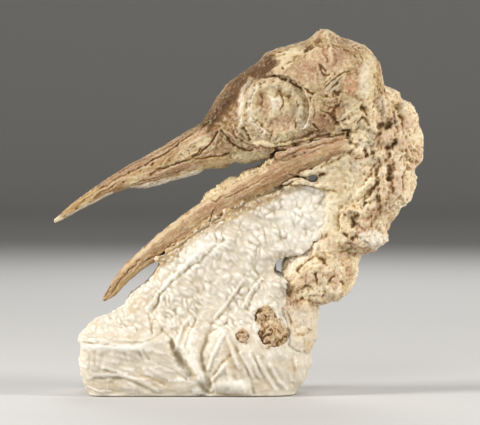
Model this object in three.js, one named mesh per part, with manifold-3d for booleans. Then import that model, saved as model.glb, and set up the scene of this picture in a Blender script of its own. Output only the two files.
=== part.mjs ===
// A fossil bird skull with its beak open, on the upper neck, standing on a hand-carved plaster web and foot.
// Millimetres and +Z up. The beak points towards -X and the bird's left side is towards -Y. The origin is in
// the middle of the underside.
import * as THREE from 'three';
import { mergeVertices } from 'three/addons/utils/BufferGeometryUtils.js';
import Module from 'manifold-3d';

const wasm = await Module();
wasm.setup();

// Gap kept between neighbouring bodies.
const GAP = 0.35;

// How each body is sectioned: longest step along it, sides to a section, and how boxy a section is, where 2
// is an ellipse.
const SKULL_CUT = { along: 'x', step: 4, sides: 24, square: 2.4 };
const BEAK_CUT = { along: 'x', step: 6, sides: 14, square: 2.4 };
const JAW_CUT = { along: 'x', step: 6, sides: 16, square: 2.4 };
const TONGUE_CUT = { along: 'x', step: 6, sides: 12, square: 2.4 };
const NECK_CUT = { along: 'z', step: 5, sides: 18, square: 2.4 };
const THROAT_CUT = { along: 'z', step: 5, sides: 18, square: 2.6 };
const WEB_CUT = { along: 'z', step: 5, sides: 28, square: 4 };
const FOOT_CUT = { along: 'z', step: 4, sides: 24, square: 7 };
const CLOD_DETAIL = 2;
const HOLE_SIDES = 12;
const SLOT_END_STEPS = 4;
const SLOT_SIDES = 10;

// Points nearer than this are one point, and sections nearer than this share of a step are one section.
const SAME_POINT = 1e-4;
const SAME_SECTION = 0.25;

// How many of the neck bodies, from the skull down, are mostly bone.
const BONY_NECKS = 3;

// Edges are given as [along, across] pairs, and depths as [along, half depth] pairs. Along is X for the
// skull, beak and jaw, whose sections stand across X, and Z for the neck and plaster, sectioned level.

// Braincase and face.
const CROWN = [[-12.2, 94.8], [-9.7, 98.2], [-7.4, 102.2], [-2.7, 108], [4, 113], [7.3, 115], [9.9, 118.2],
  [18.3, 121], [24.6, 122.6], [29.5, 126.8], [31.6, 126.6], [36.5, 123.5], [44.2, 121], [47, 118.3],
  [49.4, 113.7], [50.6, 107]];
const SKULL_FLOOR = [[-12.2, 93.4], [-8, 88.2], [-3.4, 84.4], [8.5, 83.8], [18.3, 85], [32.3, 88.5],
  [38.6, 86.1], [44.5, 91.7], [50.6, 102]];
const SKULL_HALF = [[-12.2, 5], [-3, 9], [6, 12.6], [13, 14.2], [25, 16], [36, 17.5], [44, 16], [48, 12.5],
  [50.6, 9]];

// Upper beak with the stone under its palate.
const BEAK_RIDGE = [[-64.1, 60.2], [-62.9, 61.8], [-58.7, 65], [-48.2, 72.7], [-37.7, 79.3], [-27.2, 85.3],
  [-16.7, 91.6], [-11.8, 94.6], [-4.5, 98], [4, 92], [11, 84]];
const BEAK_UNDER = [[-64.1, 59.2], [-61.5, 60.3], [-55.2, 64], [-48.2, 67.4], [-38.4, 71.6], [-32.1, 71.8],
  [-23.7, 74.2], [-13.9, 76.8], [-11.8, 78.2], [-4.8, 78.9], [-1.3, 80.6], [3.6, 80.5], [8.5, 81.8],
  [11, 82.2]];
const BEAK_HALF = [[-64.1, 0.6], [-55, 1.6], [-38, 3], [-25, 4.4], [-12, 6], [-4, 7.4], [4, 8.4], [11, 8]];

// Nostrils: one shallow slot in each side of the beak.
const NOSTRIL_AT = [-17.5, 83.6];
const NOSTRIL_LENGTH = 9;
const NOSTRIL_HEIGHT = 2.6;
const NOSTRIL_TILT = 0.5;
const NOSTRIL_INNER = 4.2;

// Eye sockets and the stone discs that fill them.
const SOCKET_AT = [13.4, 99.2];
const SOCKET_RADIUS = 11.8;
const SOCKET_INNER = 10.4;
const SOCKET_OUTER = 20;
const EYE_FACE = 13.4;
const EYE_RING_RADIUS = 6.4;
const EYE_RING_DIP = 0.7;
const EYE_SIDES = 30;

// Lower jaw, one bone on each side, joined in front.
const JAW_TOP = [[-46.9, 33], [-46.1, 35.7], [-43, 39.9], [-39.5, 44.4], [-34.2, 49.2], [-27.2, 55.5],
  [-20.2, 60.9], [-13.2, 66.1], [-6.2, 70.6], [0.8, 74.2], [7.8, 77.5], [13, 81.6], [21.8, 84.7],
  [28.8, 86.4], [36, 88.2], [40.5, 86.6]];
const JAW_UNDER = [[-46.9, 31.6], [-45.8, 30.9], [-44.7, 31.6], [-41.9, 35.3], [-37.7, 39.5], [-32.5, 43.8],
  [-27.2, 46.9], [-20.2, 51.4], [-13.2, 56.3], [-6.2, 60.9], [2.5, 65.5], [8.5, 68.6], [16.5, 72.8],
  [25.3, 77.7], [34, 81.9], [40.5, 84.6]];
const JAW_HALF = [[-46.9, 0.9], [-40, 2.5], [-27, 4.2], [-13, 6.2], [0.8, 8.8], [16.5, 12], [30, 14.2],
  [40.5, 14]];

// Stone between the two sides of the jaw.
const TONGUE_TOP = [[-13.2, 65.6], [-10.8, 69.3], [-6.2, 72.4], [-2.7, 75], [0.4, 74.9], [2.9, 77.2],
  [7.8, 78.8], [10.9, 82], [16, 87], [30, 91], [38, 91]];
const TONGUE_UNDER = [[-13.2, 62.5], [0, 70.5], [11, 76], [22, 80.5], [38, 86]];
const TONGUE_HALF = [[-13.2, 2.2], [0, 5.4], [11, 8], [22, 10.6], [38, 11.6]];

// Neck, one body to each joint of its outline, from the skull down to the foot.
const NECK_1 = {
  right: [[78.5, 61.7], [80.8, 63.8], [86.4, 64.1], [91.7, 63.4], [93.8, 62.4], [99.4, 61], [102.2, 56.8],
    [105, 55.6], [106.4, 52]],
  left: [[78.5, 40], [92, 42], [106.4, 46]],
  half: [[78.5, 11.5], [90, 12.8], [100, 11.4], [106.4, 6]],
};
const NECK_2 = {
  right: [[60.2, 54.2], [64.8, 56.8], [68.2, 60.3], [70.7, 60.6], [78.1, 61.6]],
  left: [[60.2, 33], [70, 37], [78.1, 39]],
  half: [[60.2, 11], [70, 12.6], [78.1, 11.6]],
};
const NECK_3 = {
  right: [[48.7, 44.5], [49.7, 49.1], [52.8, 52.8], [56.7, 51.4], [59.8, 54]],
  left: [[48.7, 21], [54, 25], [59.8, 31]],
  half: [[48.7, 10], [54, 11.8], [59.8, 11]],
};
const NECK_4 = {
  right: [[31, 28.8], [32.4, 35.1], [35.7, 39.3], [40.9, 41.2], [45.5, 42.1], [48.3, 43.1]],
  left: [[31, 13.6], [36, 14.4], [39.4, 15.4], [44, 15.6], [48.3, 19]],
  half: [[31, 10.5], [40, 11.8], [48.3, 10]],
};
const NECK_5 = {
  right: [[15.9, 25], [18.9, 27.4], [25.2, 27.5], [30.6, 28.3]],
  left: [[15.9, 19], [22, 15], [30.6, 13]],
  half: [[15.9, 12], [30.6, 10.6]],
};

// Stone that fills the throat, and the small gap left through it under the jaw.
const THROAT = {
  right: [[55, 38], [62, 41], [74, 45], [86, 49]],
  left: [[55, 25], [62, 28], [70.6, 28.6], [72.6, 18], [75, 21], [80, 29], [86, 37]],
  half: [[55, 9.6], [70, 10.6], [80, 11.4], [86, 9]],
};
const THROAT_HOLE_AT = [26.2, 74.7];
const THROAT_HOLE_SIZE = [3.4, 2.2];

// Plaster web. It wraps the end of the foot, and its right edge steps in to leave a slot beside the neck.
const WEB = {
  left: [[0, -18], [10.5, -26], [19.2, -33], [21, -54.4], [25.2, -50], [26.9, -44.7], [29.7, -40.2],
    [34.3, -37.4], [38.8, -31.4], [42, -28.6], [46.2, -26.6], [50, -24.4], [56, -15], [62, -6], [67, 4],
    [72.2, 14]],
  right: [[0, 20], [5.2, 23.4], [10.5, 25.5], [15.2, 25], [16.2, 23], [39.4, 20], [40, 13.4], [47, 13.4],
    [47.6, 24], [55, 31], [62, 33], [72.2, 31.6]],
  half: [[0, 17.6], [8, 18], [17, 16.4], [21, 13.6], [30, 11], [42, 9.6], [55, 9], [72.2, 8.4]],
};

// Foot block, the left part of what the model stands on.
const FOOT = {
  left: [[0, -51.6], [1, -52.2], [7, -54.2], [14.7, -54.8], [16.8, -54.4], [18.8, -55.4], [20.8, -54.6]],
  right: [[0, -10.1], [2.5, -11.8], [7, -15], [10.5, -18.2], [13.7, -20.6], [17.5, -23.4], [20.8, -26]],
  half: [[0, 17.6], [1, 18.2], [12, 19], [18.8, 19], [20.8, 16.6]],
};

// Lumps of bone that stand out of the plaster, as [x, y, z, radius].
const CLOD_UPPER = [9.4, -8.6, 26.6, 4.3];
const CLOD_LOWER = [12, -11, 19.6, 5.3];
const CLOD_SMALL = [1.5, -12.6, 19.6, 2.6];

// Materials.
const BONE = { color: 0xb2927a, roughness: 0.7, metalness: 0 };
const JAW_BONE = { color: 0xb8946f, roughness: 0.65, metalness: 0 };
const STONE = { color: 0xd8c49c, roughness: 0.85, metalness: 0 };
const PLASTER = { color: 0xe8e0c8, roughness: 0.8, metalness: 0 };

// A smooth curve through [along, value] pairs that never swings past them.
function edge(pairs) {
  const slope = pairs.slice(1).map(([s, v], i) => (v - pairs[i][1]) / (s - pairs[i][0]));
  const tangent = pairs.map((_, i) => {
    const before = slope[i - 1];
    const after = slope[i];
    if (before === undefined) return after;
    if (after === undefined) return before;
    return before * after <= 0 ? 0 : (2 * before * after) / (before + after);
  });
  return (s) => {
    let i = pairs.findIndex(([end]) => s < end) - 1;
    if (i === -2) i = pairs.length - 2;
    i = Math.max(i, 0);
    const [[s0, v0], [s1, v1]] = [pairs[i], pairs[i + 1]];
    const span = s1 - s0;
    const t = Math.min(Math.max((s - s0) / span, 0), 1);
    const rise = (v1 - v0) * (3 - 2 * t) * t * t;
    return v0 + rise + span * t * (1 - t) * (tangent[i] * (1 - t) - tangent[i + 1] * t);
  };
}

// Section positions: every point of the outer edges, with the longer steps between them divided.
function stations(edges, step) {
  const points = [...new Set(edges.flat().map(([s]) => s))].sort((a, b) => a - b);
  const apart = (i) => points[i] - points[i - 1] > step * SAME_SECTION;
  const kept = points.filter((_, i) => i === 0 || i === points.length - 1 || apart(i));
  return kept.flatMap((s, i) => {
    if (i === 0) return [s];
    const parts = Math.max(1, Math.round((s - kept[i - 1]) / step));
    return Array.from({ length: parts }, (_, k) => kept[i - 1] + ((s - kept[i - 1]) * (k + 1)) / parts);
  });
}

// A closed body through rounded sections, larger all round by grow.
function loft({ low, high, half }, { along, step, sides, square }, grow) {
  const [lowAt, highAt, halfAt] = [edge(low), edge(high), edge(half)];
  const places = stations([low, high], step);
  const last = places.length - 1;
  const power = (v) => Math.sign(v) * Math.abs(v) ** (2 / square);
  const points = [];
  const put = (s, across, depth) => points.push(...(along === 'x' ? [s, depth, across] : [across, depth, s]));
  const shifted = (i) => places[i] + (i === 0 ? -grow : i === last ? grow : 0);
  places.forEach((s, i) => {
    const middle = (lowAt(s) + highAt(s)) / 2;
    const reach = (highAt(s) - lowAt(s)) / 2 + grow;
    for (let k = 0; k < sides; k += 1) {
      const angle = (2 * Math.PI * (k + 0.5)) / sides;
      const turn = along === 'x' ? -angle : angle;
      put(shifted(i), middle + reach * power(Math.cos(turn)), (halfAt(s) + grow) * power(Math.sin(turn)));
    }
  });
  [0, last].forEach((i) => put(shifted(i), (lowAt(places[i]) + highAt(places[i])) / 2, 0));
  const faces = [];
  for (let k = 0; k < sides; k += 1) {
    const next = (k + 1) % sides;
    faces.push(places.length * sides, next, k);
    faces.push(places.length * sides + 1, last * sides + k, last * sides + next);
    for (let i = 0; i < last; i += 1) {
      const [a, b] = [i * sides + k, i * sides + next];
      faces.push(a, b, b + sides, a, b + sides, a + sides);
    }
  }
  const geometry = new THREE.BufferGeometry();
  geometry.setAttribute('position', new THREE.Float32BufferAttribute(points, 3));
  geometry.setIndex(faces);
  return geometry;
}

// A geometry as a solid that can be joined and cut.
function solid(geometry) {
  geometry.deleteAttribute('normal');
  geometry.deleteAttribute('uv');
  const merged = mergeVertices(geometry, SAME_POINT);
  const vertProperties = new Float32Array(merged.attributes.position.array);
  const triVerts = new Uint32Array(merged.index.array);
  return new wasm.Manifold(new wasm.Mesh({ numProp: 3, vertProperties, triVerts }));
}

// The largest single body of a solid, so a cut leaves no crumbs.
function largest(body) {
  return body.decompose().sort((a, b) => b.volume() - a.volume())[0];
}

// One body less the space of its neighbours.
function cut(body, ...others) {
  return largest(others.reduce((rest, other) => rest.subtract(other), body));
}

function mesh(name, body, material) {
  const { vertProperties, triVerts } = body.getMesh();
  const geometry = new THREE.BufferGeometry();
  geometry.setAttribute('position', new THREE.BufferAttribute(new Float32Array(vertProperties), 3));
  geometry.setIndex(new THREE.BufferAttribute(new Uint32Array(triVerts), 1));
  geometry.computeVertexNormals();
  const result = new THREE.Mesh(geometry, new THREE.MeshStandardMaterial({ ...material, flatShading: true }));
  result.name = name;
  return result;
}

// Each of these returns a body, larger all round by grow where it is used to cut a neighbour.
function skullBody(grow) {
  return solid(loft({ low: SKULL_FLOOR, high: CROWN, half: SKULL_HALF }, SKULL_CUT, grow));
}

function beakBody(grow) {
  return solid(loft({ low: BEAK_UNDER, high: BEAK_RIDGE, half: BEAK_HALF }, BEAK_CUT, grow));
}

function jawBody(grow) {
  return solid(loft({ low: JAW_UNDER, high: JAW_TOP, half: JAW_HALF }, JAW_CUT, grow));
}

function tongueBody(grow) {
  return solid(loft({ low: TONGUE_UNDER, high: TONGUE_TOP, half: TONGUE_HALF }, TONGUE_CUT, grow));
}

function levelBody({ left, right, half }, sections, grow) {
  return solid(loft({ low: left, high: right, half }, sections, grow));
}

function clodBody(list, grow) {
  const lumps = list.map(([x, y, z, radius]) => {
    const ball = new THREE.IcosahedronGeometry(radius + grow, CLOD_DETAIL);
    return solid(ball.translate(x, y, z));
  });
  return lumps.reduce((whole, lump) => whole.add(lump));
}

// A round plug across the skull at the eye, from inner to outer depth on one side.
function socketPlug(side, radius, inner, outer) {
  const plug = new THREE.CylinderGeometry(radius, radius, outer - inner, EYE_SIDES);
  return solid(plug.translate(SOCKET_AT[0], (side * (inner + outer)) / 2, SOCKET_AT[1]));
}

// The stone disc in a socket: low dome, sunk ring, raised middle.
function eyeBody(side) {
  const rim = SOCKET_RADIUS - GAP;
  const back = SOCKET_INNER + GAP;
  const profile = [
    new THREE.Vector2(0, back),
    new THREE.Vector2(rim, back),
    new THREE.Vector2(rim, EYE_FACE - 2 * EYE_RING_DIP),
    new THREE.Vector2((rim + EYE_RING_RADIUS) / 2, EYE_FACE),
    new THREE.Vector2(EYE_RING_RADIUS, EYE_FACE - EYE_RING_DIP),
    new THREE.Vector2(EYE_RING_RADIUS / 2, EYE_FACE),
    new THREE.Vector2(0, EYE_FACE),
  ];
  const disc = new THREE.LatheGeometry(profile, EYE_SIDES);
  disc.rotateZ(side > 0 ? 0 : Math.PI);
  return solid(disc.translate(SOCKET_AT[0], 0, SOCKET_AT[1]));
}

// A slot in one side of the beak, sloping with it.
function nostrilCut(side) {
  const straight = NOSTRIL_LENGTH - NOSTRIL_HEIGHT;
  const slot = new THREE.CapsuleGeometry(NOSTRIL_HEIGHT / 2, straight, SLOT_END_STEPS, SLOT_SIDES);
  slot.rotateZ(-Math.PI / 2).rotateY(-NOSTRIL_TILT);
  return solid(slot.translate(NOSTRIL_AT[0], side * (NOSTRIL_INNER + NOSTRIL_HEIGHT / 2), NOSTRIL_AT[1]));
}

// The small gap through the throat, from side to side.
function throatHole() {
  const [length, height] = THROAT_HOLE_SIZE;
  const hole = new THREE.CylinderGeometry(length / 2, length / 2, 2 * SOCKET_OUTER, HOLE_SIDES);
  return solid(hole.scale(1, 1, height / length).translate(THROAT_HOLE_AT[0], 0, THROAT_HOLE_AT[1]));
}

const model = new THREE.Group();

const sockets = [-1, 1].map((side) => socketPlug(side, SOCKET_RADIUS, SOCKET_INNER, SOCKET_OUTER));
const skull = cut(skullBody(0), ...sockets);
model.add(mesh('cranium', skull, BONE));
model.add(mesh('eye_stone_left', eyeBody(-1), STONE));
model.add(mesh('eye_stone_right', eyeBody(1), STONE));

const beak = cut(beakBody(0), skullBody(GAP), nostrilCut(-1), nostrilCut(1));
model.add(mesh('upper_beak', beak, BONE));

const jaw = cut(jawBody(0), skullBody(GAP), tongueBody(GAP));
model.add(mesh('lower_jaw', jaw, JAW_BONE));
model.add(mesh('tongue_stone', cut(tongueBody(0), skullBody(GAP), beakBody(GAP)), STONE));

const clodSpace = [clodBody([CLOD_UPPER, CLOD_LOWER], GAP), clodBody([CLOD_SMALL], GAP)];
const necks = [NECK_1, NECK_2, NECK_3, NECK_4, NECK_5];
necks.forEach((dimensions, i) => {
  const body = cut(levelBody(dimensions, NECK_CUT, 0), skullBody(GAP), jawBody(GAP), clodSpace[0]);
  model.add(mesh(`neck_${i + 1}`, body, i < BONY_NECKS ? BONE : STONE));
});

const neckSpace = necks.map((dimensions) => levelBody(dimensions, NECK_CUT, GAP));
const throatSpace = (grow) => levelBody(THROAT, THROAT_CUT, grow);
const throat = cut(throatSpace(0), skullBody(GAP), jawBody(GAP), ...neckSpace, throatHole());
model.add(mesh('throat_stone', throat, STONE));

const clodLarge = clodBody([CLOD_UPPER, CLOD_LOWER], 0);
const clodSmall = clodBody([CLOD_SMALL], 0);
model.add(mesh('bone_clod_large', clodLarge, BONE));
model.add(mesh('bone_clod_small', clodSmall, BONE));

const footSpace = (grow) => levelBody(FOOT, FOOT_CUT, grow);
model.add(mesh('plaster_foot', footSpace(0), PLASTER));

const webSpace = levelBody(WEB, WEB_CUT, 0);
const webCuts = [jawBody(GAP), ...neckSpace, throatSpace(GAP), ...clodSpace, footSpace(GAP)];
model.add(mesh('plaster_web', cut(webSpace, ...webCuts), PLASTER));

export default model;
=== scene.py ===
"""A fossil bird skull, beak open, on its upper neck and a hand-carved plaster web and foot.

The frame holds the part in metres. Carving sizes below are in millimetres, in the same frame: x to the
back of the head, z up, and the bird's left side towards -y. What is drawn on the left side is carved on
the right side too.
"""

import logging  # noqa: E402
import math  # noqa: E402
from dataclasses import dataclass, field  # noqa: E402
from enum import Enum  # noqa: E402

import bmesh  # noqa: E402
import bpy  # noqa: E402
import numpy as np  # noqa: E402
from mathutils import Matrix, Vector  # noqa: E402


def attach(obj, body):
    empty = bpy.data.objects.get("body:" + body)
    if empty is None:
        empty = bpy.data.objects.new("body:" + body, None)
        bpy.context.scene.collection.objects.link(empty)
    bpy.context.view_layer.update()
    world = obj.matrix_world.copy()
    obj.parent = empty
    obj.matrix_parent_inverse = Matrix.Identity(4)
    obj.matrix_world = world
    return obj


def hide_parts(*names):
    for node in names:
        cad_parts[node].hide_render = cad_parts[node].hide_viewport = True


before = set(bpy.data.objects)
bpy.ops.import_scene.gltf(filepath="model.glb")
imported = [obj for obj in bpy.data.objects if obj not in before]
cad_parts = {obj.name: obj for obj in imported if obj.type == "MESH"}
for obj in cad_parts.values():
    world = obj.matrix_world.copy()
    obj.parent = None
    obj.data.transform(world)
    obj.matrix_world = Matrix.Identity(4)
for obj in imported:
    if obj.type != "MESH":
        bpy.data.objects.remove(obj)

log = logging.getLogger("bird_skull")

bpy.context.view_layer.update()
MM = 0.001

Path = tuple[tuple[float, float], ...]
Colour = tuple[float, float, float]
Place = tuple[float, float, float]


class Tone(Enum):
    """A local colour of the fossil, as linear red, green and blue."""

    PINK = (0.43, 0.27, 0.165)
    RUST = (0.45, 0.20, 0.10)
    BROWN = (0.102, 0.057, 0.025)
    UMBER = (0.22, 0.13, 0.065)
    GOLD = (0.53, 0.36, 0.145)
    TAN = (0.54, 0.40, 0.215)
    STONE = (0.70, 0.60, 0.39)
    GREY = (0.52, 0.47, 0.34)
    WHITE = (0.86, 0.83, 0.75)


@dataclass(frozen=True)
class Mark:
    """One line in the surface: a crack, groove or pit where height is below zero, else a ridge."""

    width: float
    height: float
    stain_and_shadow: float
    path: Path


@dataclass(frozen=True)
class Patch:
    """An oval of another colour, sized in millimetres and tilted in degrees."""

    tone: Tone
    amount: float
    x: float
    z: float
    half_x: float
    half_z: float
    tilt: float


@dataclass(frozen=True)
class Band:
    """A stripe of another colour along a line, half being half its width in millimetres."""

    tone: Tone
    amount: float
    half: float
    path: Path


# Marks in the surface, region by region. Each has its width, height, share of grime, and path in x and z;
# on the marks noted, that share is painted shadow.

ORBIT = (
    # Groove along the socket's upper rim, darkened as painted shadow under the overhang.
    Mark(0.5, -0.6, 0.6, ((8.5, 110.1), (11.3, 110.4), (14.1, 110.2), (16.5, 109.5), (18.6, 108.3),
         (20.7, 106.8), (22.8, 105.7), (26, 104.5))),
    Mark(0.3, -0.5, 0.7, ((26.3, 93.8), (27.7, 92))),
    Mark(0.5, -0.3, 0.5, ((22.5, 89.6), (25.3, 90.6), (28.1, 91.7))),
    Mark(0.5, -0.35, 0.6, ((27.4, 89.6), (29.8, 90.1), (31.6, 90.6))),
    # Groove below the cheek bar, darkened as painted shadow.
    Mark(0.6, -0.35, 0.5, ((15.1, 87.5), (18.3, 88.5), (21.8, 89.2), (24.6, 89.9))),
    Mark(0.35, -0.25, 0.5, ((5.3, 85.6), (8.5, 85.8), (12, 85.6), (14.8, 85.8), (18.3, 86.6), (21.8, 87.5),
         (25.3, 88.5), (28.8, 89.2))),
    Mark(0.7, 0.25, 0.0, ((4.3, 84.3), (11.3, 84.3), (18.3, 85.4), (25.3, 87.1), (32.3, 88.9))),
    Mark(0.3, -0.2, 0.5, ((15.8, 82.8), (19, 84), (21.8, 84.9), (26, 85.8), (29.5, 86.8), (33, 87.8),
         (35.8, 88.5))),
    Mark(1.2, 0.6, 0.0, ((4.6, 109.5), (2.5, 106.4), (1.5, 102.9), (1.5, 98.7), (1.8, 95.2), (0.1, 92.4),
         (0.8, 89.6))),
    Mark(0.6, -0.35, 0.12, ((9.2, 108.5), (6, 106.4), (4.6, 103.2), (4.3, 99.4), (4.6, 96.6), (6, 93.8),
         (8.5, 91.3))),
    Mark(0.7, 0.5, 0.0, ((12, 102.9), (12.7, 100.1))),
    Mark(0.2, -0.15, 0.6, ((26.2, 102.4), (26.4, 98.8), (26.1, 95.2))),
    Mark(0.8, -0.4, 0.5, ((14.1, 104.6), (16.2, 103.9), (17.6, 103.2))),
    Mark(0.3, -0.4, 0.6, ((14.8, 103.9), (15.8, 102.2), (15.5, 100.8), (14.8, 98.7))),
    Mark(1.2, -0.25, 0.35, ((8.1, 103.9), (8.5, 100.8))),
    Mark(0.3, -0.5, 0.6, ((20.4, 101.8), (20.7, 100.4))),
    Mark(0.35, -0.6, 0.8, ((24.9, 102.9), (25.3, 101.1))),
    Mark(0.3, -0.3, 0.5, ((20, 95.5), (20, 92.8))),
    Mark(0.5, -0.4, 0.35, ((7.1, 95.2), (9.2, 92.4), (12, 90.6), (10.6, 88.2))),
    Mark(0.5, -0.5, 0.7, ((1.8, 92.4), (3.2, 90.6), (3.9, 88.9))),
    Mark(0.4, 0.4, 0.0, ((-1.7, 93.4), (0.1, 90.3), (2.9, 87.8), (6.4, 86.8))),
    Mark(0.5, 0.35, 0.0, ((9.9, 111.6), (13.4, 113), (16.9, 115.8))),
)

BROW = (
    Mark(2.3, -0.5, 0.62, ((-9, 92.4), (-5.9, 96.2), (-3.4, 100.4), (-1.3, 104.6), (2.5, 109.5),
         (7.1, 112.7), (11.3, 114.4))),
    Mark(0.3, -0.3, 0.5, ((-8, 94.8), (-6.6, 99.4), (-4.1, 103.9), (-0.6, 107.4), (4.3, 110.9),
         (8.5, 113.4))),
    Mark(1.0, -0.4, 0.85, ((9.2, 113.7), (11.6, 114.6))),
    Mark(0.35, -0.4, 0.7, ((-8.7, 95.9), (-7.6, 97.6), (-7.3, 99.4))),
    Mark(0.3, -0.3, 0.6, ((8.8, 116.2), (11.3, 117.6), (14.8, 119))),
    Mark(0.3, -0.3, 0.5, ((10.6, 115.8), (13.7, 117.6), (16.5, 118.3))),
    Mark(0.7, -0.9, 0.9, ((23.5, 119.3), (25.3, 120.7), (26.7, 122.1), (28.1, 123.2))),
    Mark(0.6, -0.4, 0.5, ((19, 117.2), (21.8, 117.6), (23.9, 118.3))),
    Mark(0.4, -0.3, 0.5, ((17.6, 115.1), (19.7, 116.5))),
    Mark(0.3, -0.3, 0.7, ((15.1, 113.4), (15.5, 113))),
)

BRAINCASE = (
    Mark(0.35, -0.6, 0.9, ((28.1, 114.4), (29.5, 113.4), (30.5, 112.3))),
    Mark(0.35, -0.5, 0.8, ((29.1, 111.6), (29.8, 110.6), (31.6, 110.9))),
    Mark(0.3, -0.4, 0.6, ((28.8, 113.4), (29.1, 111.6))),
    Mark(0.25, -0.4, 0.7, ((30.2, 106.4), (32.6, 108.5), (35.1, 110.6), (36.8, 111.8), (38.2, 111.5))),
    Mark(0.2, -0.3, 0.5, ((31.2, 105.3), (33.7, 107.8), (36.1, 110.2))),
    Mark(0.2, -0.25, 0.4, ((29.5, 107.1), (31.9, 109.2), (34, 111.3))),
    Mark(0.3, -0.5, 0.9, ((30.9, 103.2), (31.1, 103.2))),
    Mark(0.3, -0.5, 0.8, ((32.6, 103.9), (32.8, 103.9))),
    Mark(0.65, -0.8, 1.0, ((34, 103.9), (34.9, 104.5))),
    Mark(0.3, -0.5, 0.8, ((33.3, 105), (33.5, 105))),
    Mark(0.5, -0.4, 0.6, ((33.7, 107.1), (34.2, 107.8))),
    Mark(0.85, -1.7, 1.0, ((43.1, 99.2), (43.8, 98.9))),
    Mark(0.4, -0.5, 0.6, ((44.2, 98), (45.2, 96.2))),
    Mark(0.9, -0.6, 0.65, ((33.7, 100.1), (33, 97.6), (33.7, 94.5))),
    Mark(0.7, -1.5, 1.0, ((37, 91.2), (38.8, 91.3), (37.9, 88.9))),
    Mark(0.55, 0.45, 0.0, ((36.1, 95.9), (39.3, 99), (42.1, 100.8))),
    Mark(0.6, 0.5, 0.0, ((36.8, 92.8), (40, 95.9), (42.8, 98.3), (44.9, 95.9), (47, 92.4))),
    Mark(0.4, -0.4, 0.6, ((41, 94.1), (43.1, 96.6), (45.2, 93.8))),
    Mark(0.4, -0.5, 0.5, ((47, 99.8), (47.7, 101.8), (48.4, 102.9))),
    Mark(0.4, -0.4, 0.5, ((28.8, 98.7), (32.3, 96.6), (35.1, 93.8))),
    Mark(0.35, -0.35, 0.5, ((35.8, 101.8), (34.4, 100.1), (31.6, 98.7))),
    Mark(0.3, -0.35, 0.5, ((40.3, 117.9), (40.7, 116.9))),
    Mark(0.3, -0.3, 0.5, ((42.8, 117.2), (43.1, 116.2))),
    Mark(0.3, -0.35, 0.6, ((36.5, 119.7), (38.6, 119))),
    Mark(0.7, 0.5, 0.0, ((30.9, 125.6), (31.9, 121.4), (32.3, 116.2))),
    Mark(0.5, -0.4, 0.3, ((28.8, 122.5), (29.5, 119), (30.9, 115.5))),
    Mark(0.8, -0.5, 0.35, ((47.7, 110.9), (48.7, 107.8), (49.8, 105))),
)

BEAK = (
    Mark(0.3, -0.35, 0.8, ((-38.4, 76.6), (-34.2, 78.8), (-30.7, 80.5), (-27.9, 82.2), (-25.5, 83.6),
         (-22, 85.9), (-18.5, 88.9), (-16, 91))),
    Mark(0.25, -0.3, 0.75, ((-30, 80.8), (-26.5, 82.8), (-23, 84.9), (-20.6, 87.3))),
    Mark(0.32, -0.45, 0.85, ((-28.3, 77.7), (-25.5, 78.6), (-23, 79.4), (-20.2, 80.5), (-16.7, 81.2),
         (-13.2, 81.7), (-9, 82.4), (-5.5, 82.9), (-3.1, 83.6))),
    Mark(0.3, 0.4, 0.0, ((-27.9, 78), (-26.2, 79.8), (-24.4, 81.9), (-22.7, 83.3))),
    Mark(0.5, -0.7, 1.0, ((-16, 81.9), (-15.3, 82.6), (-14.3, 83.6), (-13.6, 84.7))),
    Mark(0.35, -0.6, 0.9, ((-6.9, 91.3), (-8, 89.6), (-9.4, 87.5), (-11.1, 85.4), (-13.2, 83.6),
         (-15, 82.2))),
    Mark(0.4, -0.6, 0.85, ((-5.5, 91.3), (-4.1, 89.6), (-2.4, 87.8), (-0.3, 86.1), (2.2, 84.7), (5, 84.5))),
    Mark(0.5, 0.45, 0.0, ((-6.2, 92), (-7.3, 88.9), (-8.3, 85.4))),
    Mark(0.4, 0.3, 0.0, ((-7.6, 91.7), (-10.8, 89.6), (-13.9, 88.5), (-16.7, 86.8))),
    Mark(0.55, 0.35, 0.0, ((-5.2, 92), (-2.7, 90.3), (0.1, 87.8), (2.9, 86.1))),
    Mark(0.25, -0.25, 0.4, ((-19.9, 83.3), (-18.1, 84.9), (-16.4, 83.6), (-17.8, 81.7), (-19.9, 83.3))),
    Mark(0.25, -0.5, 1.0, ((-40.2, 73.8), (-40, 73.8))),
    Mark(0.35, -0.4, 0.8, ((-30, 79.4), (-29, 80.1))),
    Mark(0.3, -0.3, 0.6, ((-57, 64.2), (-56.3, 64.4))),
    Mark(0.25, -0.3, 0.7, ((-33.9, 77.3), (-33.5, 77.7))),
    Mark(0.3, -0.3, 0.55, ((-30.7, 76.3), (-28.6, 77.2))),
    Mark(0.2, -0.2, 0.35, ((-36.7, 73.1), (-32.5, 74.2), (-27.2, 75.6), (-20.9, 77), (-14.6, 78))),
    Mark(0.25, -0.25, 0.4, ((-51, 67.5), (-46.8, 70.3), (-42.6, 72.8))),
    Mark(0.25, -0.2, 0.35, ((-53.8, 67.2), (-48.9, 70.3), (-44, 73.8), (-39.1, 76.3))),
    Mark(0.3, -0.3, 0.45, ((-48.2, 71.4), (-46.1, 72.8))),
    Mark(0.35, -0.35, 0.5, ((-12.9, 91.7), (-11.1, 93.8), (-9.7, 94.8))),
)

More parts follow.
